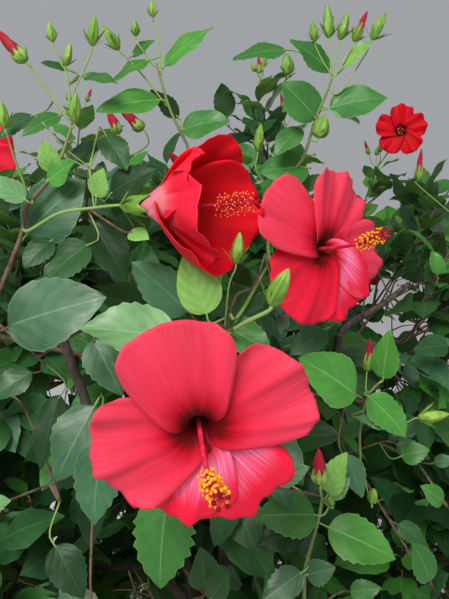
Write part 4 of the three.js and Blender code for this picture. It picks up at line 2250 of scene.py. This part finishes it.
@dataclass
class SeenShoot:
    """A shoot that the picture shows closely, with its stems, leaves and buds each where they are seen."""

    name: str
    node: str
    stems: Sequence[SeenStem]
    leaves: Sequence[SeenLeaf]
    buds: Sequence[SeenBud]
    seed: int

    def build(self, skeleton: Skeleton) -> None:
        """Builds the shoot's pieces in place of its node.

        Args:
            skeleton: what it grows from.
        """
        chance = random.Random(self.seed)
        parts = ShootParts(self.name, [self.node])
        for stem in self.stems:
            stem.build(parts, skeleton)
        for bud in self.buds:
            bud.build(parts, skeleton, chance)
        for leaf in self.leaves:
            leaf.build(parts, skeleton, chance)
        parts.pieces()


# The shoot at the picture's upper left, with its buds and a furled old bloom.
LEFT_STEMS = (
    SeenStem(
        ((-14, 330, 0.56), (0, 290, 0.55), (21, 236, 0.54), (27, 207, 0.535), (46, 184, 0.53)),
        (0.0026, 0.0020),
        Wood.YOUNG,
    ),
    SeenStem(((46, 184, 0.53), (62, 155, 0.528), (72, 125, 0.525)), (0.0019, 0.0014), rooted=False),
    SeenStem(
        ((27, 207, 0.535), (26, 190, 0.53), (15, 160, 0.525), (5, 128, 0.52)), (0.0014, 0.0008),
        rooted=False,
    ),
    SeenStem(((90, 168, 0.54), (67, 150, 0.53), (42, 122, 0.52)), (0.0008, 0.0006), Skin.GREEN),
)
LEFT_LEAVES = (
    SeenLeaf((68, 70), (40, 63), 0.540, DEEP, 40, breadth=0.5),
    SeenLeaf((84, 76), (118, 84), 0.530, FULL, 34, breadth=0.5),
    SeenLeaf((34, 115), (0, 139), 0.545, DEEP, 30),
    SeenLeaf((61, 115), (22, 137), 0.535, FULL, 35),
    SeenLeaf((52, 172), (43, 139), 0.530, YOUNG, 20, breadth=0.66),
    SeenLeaf((48, 181), (74, 162), 0.528, BRIGHT, 10, breadth=0.8, droop=0.3, tooth=0.04),
    SeenLeaf((105, 135), (127, 171), 0.560, DEEP, 20),
    SeenLeaf((95, 143), (70, 171), 0.560, SHADE, 15),
    SeenLeaf((96, 197), (104, 168), 0.520, YOUNG, 15, breadth=0.8),
    SeenLeaf((26, 200), (-20, 178), 0.520, PALE, 40, breadth=0.66),
    SeenLeaf((110, 194), (158, 168), 0.560, SHADE, 20),
    SeenLeaf((27, 234), (86, 180), 0.550, BLUE, 14, breadth=0.82, fold=0.14, tooth=0.06),
    SeenLeaf((8, 326), (107, 297), 0.500, BLUE, 14, breadth=0.70, droop=0.35, tooth=0.08),
    SeenLeaf((92, 222), (127, 283), 0.550, SHADE, 18, breadth=0.58),
    SeenLeaf((52, 240), (24, 268), 0.540, DEEP, 24, breadth=0.8),
    SeenLeaf((88, 244), (44, 284), 0.536, DEEP, 26, breadth=0.8),
    SeenLeaf((32, 372), (-10, 400), 0.525, DEEP, 28),
    SeenLeaf((60, 395), (40, 470), 0.540, SHADE, 16, breadth=0.44),
    SeenLeaf((-10, 508), (11, 500), 0.520, PALE, 30),
)
LEFT_APEX = (72, 125, 0.525)
LEFT_BUDS = (
    SeenBud((53, 42), (49, 22), 0.515, ((60, 62, 0.518), (67, 74, 0.52), (69, 99, 0.522), LEFT_APEX), 0.0036),
    SeenBud((92, 46), (95, 16), 0.515, ((84, 70, 0.518), (73, 95, 0.522), LEFT_APEX), 0.0043),
    SeenBud((74, 123), (76, 92), 0.522, (), 0.0046),
    SeenBud(
        (26, 62), (2, 36), 0.515, ((33, 70, 0.518), (52, 98, 0.522), (67, 118, 0.524)), 0.0058, 0.9, 0.0009
    ),
    SeenBud((66, 66), (70, 42), 0.520, ((68, 84, 0.521), (70, 104, 0.522)), 0.0032),
    SeenBud((5, 128), (1, 101), 0.520, (), 0.0040),
    SeenBud((119, 134), (110, 114), 0.640, ((122, 150, 0.65),), 0.0060, 0.8),
    SeenBud((143, 130), (124, 112), 0.620, ((147, 146, 0.63),), 0.0060, 0.9),
    SeenBud((188, 172), (172, 156), 0.660, ((192, 186, 0.67),), 0.0060, 0.7),
)
LEFT_SHOOT = SeenShoot("left_shoot", "shoot_left", LEFT_STEMS, LEFT_LEAVES, LEFT_BUDS, 11)

# The shoot above the top bloom.
CENTRE_STEMS = (
    SeenStem(
        ((193, 215, 0.61), (189, 154, 0.575), (181, 133, 0.567), (169, 107, 0.56), (156, 63, 0.555)),
        (0.0021, 0.0012),
    ),
)
CENTRE_LEAVES = (
    SeenLeaf((165, 65), (213, 28), 0.555, BRIGHT, 34, breadth=0.50, tooth=0.05),
    SeenLeaf((149, 60), (113, 82), 0.553, BRIGHT, 30, breadth=0.46),
    SeenLeaf((160, 100), (96, 112), 0.555, BRIGHT, 30, breadth=0.56, tooth=0.05),
    SeenLeaf((182, 130), (230, 120), 0.570, FULL, 26, breadth=0.72, tooth=0.06),
    SeenLeaf((132, 56), (155, 41), 0.560, FULL, 30),
    SeenLeaf((178, 118), (150, 90), 0.570, SHADE, 30),
)
CENTRE_BUDS = (
    SeenBud((119, 50), (101, 24), 0.545, ((126, 57, 0.547), (145, 78, 0.553), (166, 105, 0.56)), 0.0043),
    SeenBud((136, 36), (134, 19), 0.550, ((141, 48, 0.55), (154, 66, 0.555)), 0.0033),
    SeenBud((153, 17), (152, 0), 0.550, ((157, 25, 0.55), (161, 73, 0.556)), 0.0036),
)
CENTRE_SHOOT = SeenShoot("centre_shoot", "shoot_centre", CENTRE_STEMS, CENTRE_LEAVES, CENTRE_BUDS, 12)

# The shoot at the picture's upper right.
RIGHT_STEMS = (
    SeenStem(
        (
            (268, 250, 0.68), (286, 183, 0.645), (303, 158, 0.63), (316, 118, 0.615), (330, 84, 0.607),
            (331, 72, 0.605),
        ),
        (0.0024, 0.0013),
    ),
)
RIGHT_LEAVES = (
    SeenLeaf((286, 50), (233, 60), 0.620, FULL, 30, breadth=0.48),
    SeenLeaf((330, 72), (290, 40), 0.608, FULL, 24, breadth=0.62),
    SeenLeaf((316, 119), (281, 82), 0.615, FULL, 16, breadth=0.86, tooth=0.06),
    SeenLeaf((330, 108), (388, 98), 0.610, FULL, 20, breadth=0.68, tooth=0.05),
    SeenLeaf((328, 108), (360, 124), 0.612, PALE, 38, breadth=0.5),
    SeenLeaf((300, 128), (275, 156), 0.625, FULL, 28),
    SeenLeaf((308, 168), (258, 172), 0.640, FULL, 20, breadth=0.76, tooth=0.05),
    SeenLeaf((344, 67), (373, 40), 0.606, YOUNG, 40, breadth=0.5),
    SeenLeaf((296, 190), (330, 178), 0.66, DEEP, 40),
)
RIGHT_APEX = (331, 74, 0.605)
RIGHT_BUDS = (
    SeenBud((329, 38), (327, 3), 0.600, (RIGHT_APEX,), 0.0046),
    SeenBud((340, 40), (348, 11), 0.600, ((336, 58, 0.602), RIGHT_APEX), 0.0043),
    SeenBud((354, 42), (366, 14), 0.602, ((345, 60, 0.604), (332, 80, 0.606)), 0.0043, 0.3),
    SeenBud((372, 40), (386, 12), 0.602, ((364, 57, 0.604), (339, 93, 0.608)), 0.0046),
    SeenBud((315, 42), (312, 20), 0.602, ((322, 60, 0.604), RIGHT_APEX), 0.0036),
    SeenBud((288, 75), (286, 53), 0.620, ((296, 90, 0.62), (314, 120, 0.616)), 0.0060),
    SeenBud((318, 138), (325, 114), 0.615, (), 0.0080),
    SeenBud((258, 152), (261, 123), 0.640, ((257, 172, 0.645), (276, 196, 0.65)), 0.0046),
    SeenBud((277, 176), (281, 159), 0.640, ((270, 190, 0.65),), 0.0036),
)
RIGHT_SHOOT = SeenShoot("right_shoot", "shoot_right", RIGHT_STEMS, RIGHT_LEAVES, RIGHT_BUDS, 13)

# The short shoot behind the front bloom, with its two large buds.
CLUSTER_STEMS = (
    SeenStem(((235, 378, 0.55), (228, 350, 0.51), (225, 330, 0.49)), (0.0026, 0.0020)),
    SeenStem(
        ((225, 330, 0.49), (236, 296, 0.485), (254, 286, 0.49), (265, 254, 0.50)), (0.0013, 0.0009),
        Wood.YOUNG, False,
    ),
)
CLUSTER_LEAVES = (
    SeenLeaf((207, 314), (183, 255), 0.470, YOUNG, 12, breadth=0.70, fold=0.5, lean=0.0, tooth=0.02),
    SeenLeaf((228, 265), (252, 288), 0.530, SHADE, 26),
    SeenLeaf((262, 292), (233, 317), 0.520, DEEP, 24),
    SeenLeaf((222, 325), (272, 355), 0.500, FULL, 30, breadth=0.7),
    SeenLeaf((188, 312), (131, 262), 0.535, BLUE, 22, breadth=0.66),
    SeenLeaf((175, 338), (79, 328), 0.455, PALE, 34, breadth=0.66, fold=0.42, droop=0.3),
    SeenLeaf((356, 395), (298, 358), 0.560, BRIGHT, 30, breadth=0.80, tooth=0.06),
    SeenLeaf((325, 330), (290, 355), 0.600, BLUE, 24),
    SeenLeaf((130, 232), (149, 240), 0.50, YOUNG, 30, breadth=0.8),
)
CLUSTER_BUDS = (
    SeenBud((236, 264), (240, 232), 0.462, ((229, 286, 0.468), (225, 325, 0.488)), 0.0046),
    SeenBud((271, 306), (289, 268), 0.455, ((246, 322, 0.465), (228, 333, 0.488)), 0.0066, 0.0, 0.0017),
)
FRONT_CLUSTER = SeenShoot("front_shoot", "shoot_front", CLUSTER_STEMS, CLUSTER_LEAVES, CLUSTER_BUDS, 14)

# The sprays round and under the front bloom, down to the picture's foot.
SPRAY_STEMS = (
    SeenStem(((303, 620, 0.59), (305, 571, 0.575), (318, 521, 0.57), (322, 500, 0.57)), (0.0026, 0.0016)),
    SeenStem(
        ((95, 430, 0.60), (85, 400, 0.585), (72, 365, 0.58), (62, 338, 0.575)), (0.0056, 0.0048), Wood.TWIG
    ),
    SeenStem(
        ((320, 372, 0.72), (336, 351, 0.70), (343, 329, 0.70), (380, 306, 0.73), (409, 284, 0.76)),
        (0.0052, 0.0034), Wood.TWIG,
    ),
    SeenStem(((60, 500, 0.57), (26, 411, 0.55), (10, 395, 0.55)), (0.0018, 0.0010), Wood.YOUNG),
    SeenStem(((93, 610, 0.54), (92, 529, 0.52), (98, 440, 0.50)), (0.0014, 0.0010), Wood.YOUNG),
    SeenStem(((358, 470, 0.66), (360, 430, 0.63), (368, 396, 0.61), (383, 379, 0.62)), (0.0018, 0.0011)),
)
SPRAY_LEAVES = (
    SeenLeaf((93, 340), (122, 396), 0.492, BLUE, 20, breadth=0.66),
    SeenLeaf((95, 406), (56, 482), 0.490, BLUE, 18, breadth=0.66),
    SeenLeaf((104, 442), (94, 526), 0.470, BLUE, 22, breadth=0.74, tooth=0.22),
    SeenLeaf((168, 496), (160, 589), 0.470, FULL, 22, breadth=0.76, fold=0.16, tooth=0.26),
    SeenLeaf((55, 545), (84, 599), 0.545, SHADE, 20),
    SeenLeaf((205, 588), (200, 547), 0.560, DEEP, 20, breadth=0.7),
    SeenLeaf((210, 600), (230, 572), 0.550, DEEP, 25),
    SeenLeaf((383, 379), (390, 330), 0.615, BRIGHT, 26, breadth=0.56),
    SeenLeaf((368, 396), (406, 437), 0.600, BRIGHT, 30, breadth=0.68),
    SeenLeaf((357, 417), (396, 433), 0.605, PALE, 58, breadth=0.5),
    SeenLeaf((448, 345), (414, 350), 0.720, DEEP, 26),
    SeenLeaf((396, 445), (430, 459), 0.680, DEEP, 30),
    SeenLeaf((401, 456), (430, 450), 0.650, FULL, 30, breadth=0.8),
    SeenLeaf((434, 462), (456, 460), 0.660, DEEP, 30),
    SeenLeaf((443, 502), (420, 486), 0.650, BRIGHT, 30),
    SeenLeaf((398, 524), (427, 546), 0.640, DEEP, 25),
    SeenLeaf((275, 481), (310, 467), 0.500, PALE, 30, breadth=0.6),
    SeenLeaf((328, 493), (347, 452), 0.550, YOUNG, 26, breadth=0.56, fold=0.6),
    SeenLeaf((330, 497), (350, 478), 0.552, PALE, 20, breadth=0.6),
    SeenLeaf((345, 455), (362, 498), 0.570, BLUE, 22, breadth=0.64),
    SeenLeaf((316, 515), (255, 516), 0.545, FULL, 34, breadth=0.74),
    SeenLeaf((328, 527), (396, 559), 0.565, BRIGHT, 30, breadth=0.66),
    SeenLeaf((274, 483), (288, 508), 0.540, BLUE, 20),
    SeenLeaf((304, 527), (256, 546), 0.580, SHADE, 24),
    SeenLeaf((302, 572), (262, 600), 0.560, BLUE, 26),
    SeenLeaf((306, 575), (336, 567), 0.565, BLUE, 20, breadth=0.8),
    SeenLeaf((350, 592), (382, 588), 0.600, FULL, 30),
    SeenLeaf((430, 581), (412, 542), 0.610, FULL, 24, breadth=0.6),
)
SPRAY_BUDS = (
    SeenBud((320, 484), (319, 455), 0.520, ((322, 500, 0.56),), 0.0066, 0.7, 0.0012),
    SeenBud((367, 371), (370, 342), 0.620, ((366, 390, 0.62),), 0.0050, 0.4),
    SeenBud((418, 418), (450, 414), 0.620, ((400, 424, 0.625),), 0.0060),
    SeenBud((372, 503), (374, 488), 0.600, (), 0.0050),
    SeenBud((332, 505), (330, 495), 0.555, (), 0.0030),
    SeenBud((418, 182), (421, 153), 0.80, (), 0.0046, 0.5),
)
FRONT_SPRAYS = SeenShoot("front_sprays", "foliage_upper_4", SPRAY_STEMS, SPRAY_LEAVES, SPRAY_BUDS, 15)

# The large open bloom at the front of the picture.
FRONT_BLOOM = Bloom(
    "front",
    base=(-0.018, -0.600, 1.196),
    faces=(0.12, -0.975, -0.16),
    petals=(
        Petal(
            106, reach=0.091, spread=30, flare=92, lap=0, lift=0.004, phase=0.6, recurve=6,
            finish=Corolla.FLUSHED,
        ),
        Petal(197, reach=0.081, spread=38, phase=2.1, recurve=10, finish=Corolla.FLUSHED),
        Petal(251, reach=0.080, spread=38, phase=4.0, finish=Corolla.STREAKED),
        Petal(297, reach=0.088, spread=38, lap=0, lift=-0.003, phase=1.2, finish=Corolla.STREAKED),
        Petal(29, reach=0.088, spread=32, lap=0.003, phase=3.3, recurve=10, finish=Corolla.FLUSHED),
    ),
    stalk=((-0.022, -0.560, 1.192), (-0.030, -0.440, 1.150)),
    column=Column(
        length=0.080, stamens=86, anther=0.00125, sag=Vector((0.002, 0.0, -0.010)),
        bend=Vector((0.006, 0.0, -0.0065)),
    ),
    columns=26, rows=30, seed=21,
)

# The bloom above it, a deep funnel seen from the side.
FUNNEL = dict(hug=0.8, throat=28, opens=0.20, opening=0.42, finish=Corolla.DEEP)
TOP_BLOOM = Bloom(
    "top",
    base=(-0.0665, -0.485, 1.324),
    faces=(0.93, -0.365, 0.016),
    petals=(
        Petal(47, reach=0.078, spread=36, flare=45, recurve=0, phase=0.9, point=0.30, lap=0.001, **FUNNEL),
        Petal(346, reach=0.097, spread=37, flare=29, recurve=0, phase=1.7, **FUNNEL),
        Petal(
            276, reach=0.088, spread=52, flare=47, curls=0.44, recurve=-24, phase=2.6, lap=-0.005, **FUNNEL
        ),
        Petal(
            208, reach=0.088, spread=44, flare=33, recurve=-6, phase=3.2, ruffle=0.005, lap=-0.001, **FUNNEL
        ),
        Petal(134, reach=0.071, spread=35, flare=36, recurve=0, phase=5.6, point=0.10, skew=0.05, **FUNNEL),
    ),
    stalk=(
        (-0.0890, -0.4765, 1.3235),
        (-0.1103, -0.4651, 1.3207),
        (-0.1410, -0.4560, 1.3158),
        (-0.1720, -0.4420, 1.2998),
    ),
    column=Column(
        length=0.098, stamens=120, filament=0.0085, anther=0.0007, pollen=Skin.RIPE,
        bend=Vector((0.0, 0.0, 0.003)),
    ),
    columns=24, rows=26, calyx=0.032, seed=22,
)

# The open bloom at the right, turned to the picture's right.
RIGHT_BLOOM = Bloom(
    "right",
    base=(0.076, -0.422, 1.280),
    faces=(0.61, -0.775, 0.14),
    petals=(
        Petal(65, reach=0.085, spread=32, phase=0.9, finish=Corolla.FLUSHED),
        Petal(142, reach=0.094, spread=28, flare=98, recurve=6, phase=2.2, finish=Corolla.FLUSHED),
        Petal(225, reach=0.083, flare=92, phase=3.9),
        Petal(298, reach=0.079, phase=5.0, finish=Corolla.STREAKED),
        Petal(
            345, reach=0.086, spread=34, lap=0, lift=-0.003, phase=1.4, point=0.09, finish=Corolla.FLUSHED
        ),
    ),
    stalk=((0.068, -0.412, 1.279), (0.046, -0.430, 1.276), (0.012, -0.490, 1.235)),
    column=Column(length=0.090, sag=Vector((0.0, 0.0, 0.002)), bend=Vector((-0.002, 0.0, 0.009))),
    columns=24, rows=26, seed=23,
)

# The small deep red bloom at the upper right, further away.
FAR_BLOOM = Bloom(
    "far",
    base=(0.345, 0.253, 1.427),
    faces=(-0.15, -0.98, 0.13),
    petals=tuple(
        Petal(
            18 + 72 * i, reach=0.057, spread=29, flare=80, ruffle=0.006, phase=1.9 * i, finish=Corolla.DARK
        )
        for i in range(5)
    ),
    stalk=((0.352, 0.285, 1.418),),
    column=Column(length=0.020, stamens=12),
    columns=14, rows=16, seed=24,
)

# The bloom that the picture's left side cuts.
LEFT_BLOOM = Bloom(
    "left",
    base=(-0.330, -0.150, 1.372),
    faces=(0.3, -0.949, 0.1),
    petals=tuple(Petal(40 + 72 * i, reach=0.060, flare=84, phase=2.3 * i) for i in range(5)),
    stalk=((-0.346, -0.130, 1.370),),
    column=Column(length=0.064),
    columns=14, rows=16, seed=25,
)

BLOOMS = (FRONT_BLOOM, TOP_BLOOM, RIGHT_BLOOM, FAR_BLOOM, LEFT_BLOOM)
SHOOTS = (LEFT_SHOOT, CENTRE_SHOOT, RIGHT_SHOOT, FRONT_CLUSTER, FRONT_SPRAYS)


@dataclass
class Studio:
    """A pale floor, a soft light above and in front, and an even pale sky."""

    floor_radius: float = 7.0
    floor_drop: float = 0.001
    floor_tint: Tint = (0.80, 0.80, 0.78)
    sky_tint: Tint = (0.93, 0.96, 1.0)
    sky: float = 0.38

    def build(self) -> None:
        """Builds the studio."""
        self.floor()
        self.world()
        self.lamp("key", Vector((-0.9, -2.6, 3.5)), Vector((0.0, -0.3, 1.1)), 1.5, 148.0, (1.0, 0.97, 0.92))
        self.lamp("fill", Vector((2.6, -2.0, 1.9)), Vector((0.0, -0.2, 1.0)), 2.4, 14.0, (0.92, 0.96, 1.0))
        bpy.context.scene.view_settings.view_transform = "Standard"
        bpy.context.scene.view_settings.exposure = 0.0

    def floor(self) -> None:
        """Lays the floor just under the cut of the stem."""
        shape = bmesh.new()
        bmesh.ops.create_circle(shape, cap_ends=True, segments=96, radius=self.floor_radius)
        bmesh.ops.translate(shape, verts=shape.verts[:], vec=UP * -self.floor_drop)
        material = bpy.data.materials.new("floor")
        material.use_nodes = True
        shader = material.node_tree.nodes["Principled BSDF"]
        shader.inputs["Base Color"].default_value = (*self.floor_tint, 1.0)
        shader.inputs["Roughness"].default_value = 0.9
        made = into_scene("floor", mesh_of(shape, "floor", material))

    def world(self) -> None:
        """Makes the even sky."""
        world = bpy.data.worlds.new("sky")
        world.use_nodes = True
        back = world.node_tree.nodes["Background"]
        back.inputs["Color"].default_value = (*self.sky_tint, 1.0)
        back.inputs["Strength"].default_value = self.sky
        bpy.context.scene.world = world

    @staticmethod
    def lamp(name: str, place: Vector, target: Vector, size: float, power: float, tint: Tint) -> None:
        """Hangs a soft square light.

        Args:
            name: its name.
            place: where it hangs.
            target: what it points at.
            size: its side.
            power: its watts.
            tint: its colour.
        """
        light = bpy.data.lights.new(name, "AREA")
        light.size = size
        light.energy = power
        light.color = tint
        holder = into_scene(name, light)
        holder.location = place
        holder.rotation_euler = (target - place).to_track_quat("-Z", "Y").to_euler()


@dataclass
class Shrub:
    """The whole plant, built from the ground up."""

    seed: int = 7
    stem_relief: float = 0.0042
    bough_relief: float = 0.0013
    fine_mass: str = "foliage_upper_5"
    flowers: CrownFlowers = field(default_factory=CrownFlowers)
    grove: Grove = field(default_factory=lambda: Grove(OpenSpace([bloom.clearing for bloom in BLOOMS])))

    def bark(self) -> None:
        """Puts bark on the stem and boughs."""
        for name in sorted(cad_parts):
            if name == "stem":
                BarkedLimb(name, self.stem_relief, cuts=3).piece()
            elif name.startswith("bough"):
                BarkedLimb(name, self.bough_relief).piece()
                self.grove.skeleton.add([vertex.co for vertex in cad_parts[name].data.vertices])

    def crown(self) -> None:
        """Grows every mass of foliage out of its bough, one of them with smaller and closer leaves."""
        names = sorted(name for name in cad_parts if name.startswith("foliage"))
        for index, name in enumerate(names):
            thick = 0.0058 if "middle" in name or "top" in name else 0.0044
            small = name == self.fine_mass
            mass = FoliageMass(name, thick, self.seed + 17 * index, 40 if small else 32)
            short = name.replace("foliage_", "")
            wood = Gathering(f"twigs_{short}", "bark", [name])
            leaves = Gathering(f"leaves_{short}", "foliage", [name])
            finer = {"spacing": 0.012, "lengths": (0.042, 0.066)} if small else {}
            self.keep_room(mass, index)
            mass.grow(Sprigs(self.grove, wood, leaves, mass.chance, mass.centre, **finer))
            self.flower(mass)
            wood.piece()
            leaves.piece()

    def keep_room(self, mass: FoliageMass, index: int) -> None:
        """Keeps room for one bloom on the outside of a mass, where the picture doesn't show it.

        Args:
            mass: the mass.
            index: its order, which turns the bloom's place.
        """
        turn = Matrix.Rotation(0.5 * math.sin(2.7 * index), 3, "Z")
        way = (turn @ mass.outward() + UP * 0.25 * math.cos(1.9 * index)).normalized()
        spot = mass.centre + way * (mass.reach(way) - 0.01)
        if not LENS.shows(spot):
            mass.bloom_spot = spot
            self.grove.space.clearings.append(Clearing(spot + way * 0.035, 0.062))

    def flower(self, mass: FoliageMass) -> None:
        """Opens the mass's bloom and sets some buds on its twigs.

        Args:
            mass: the mass.
        """
        if mass.bloom_spot:
            end, way = min(mass.tips, key=lambda tip: (tip[0] - mass.bloom_spot).length)
            self.flowers.bloom(end, way, (mass.bloom_spot - mass.centre).normalized())
        for end, way in mass.tips:
            outside = (end - mass.centre).normalized().dot(mass.outward()) > 0.2
            budded = outside and mass.chance.random() < self.flowers.bud_share
            if budded and not self.grove.space.shuts(end, 0.05):
                self.flowers.bud(end, way)

    def sprays(self, name: str, kinds: Sequence[BackSprays | GapSprays]) -> None:
        """Grows sprays of some kinds into two joined pieces.

        Args:
            name: what the pieces are called after.
            kinds: the sprays.
        """
        wood, leaves = Gathering(f"{name}_twigs", "bark"), Gathering(f"{name}_leaves", "foliage")
        for kind in kinds:
            kind.build(wood, leaves, self.grove)
        wood.piece()
        leaves.piece()

    def build(self) -> None:
        """Builds the plant."""
        dark, mixed = (SHADE, DEEP, DEEP, BLUE), (SHADE, DEEP, FULL, BRIGHT)
        behind = (
            BackSprays(16, (-20.0, 125.0), (165.0, 240.0), (0.68, 0.86), dark, 61),
            BackSprays(9, (120.0, 300.0), (165.0, 215.0), (0.76, 1.00), mixed, 62),
            BackSprays(14, (385.0, 465.0), (185.0, 270.0), (1.00, 1.30), mixed, 63),
        )
        between = (GapSprays(), GapSprays(73, 9000, sunk=(0.16, 0.60), clear_of_stem=0.09))
        self.bark()
        self.crown()
        for index, name in enumerate(("far_right", "far_left", "back", "side", "middle")):
            GrownShoot(f"shoot_{name}", 40 + index).build(self.grove)
        self.sprays("back_sprays", behind)
        self.sprays("gap_sprays", between)
        for seen in (*SHOOTS, *BLOOMS):
            seen.build(self.grove.skeleton)
        self.flowers.parts.pieces()


def main() -> None:
    """Builds the shrub, the studio and the camera."""
    Shrub().build()
    Studio().build()
    LENS.mount()


if __name__ == "__main__":
    main()
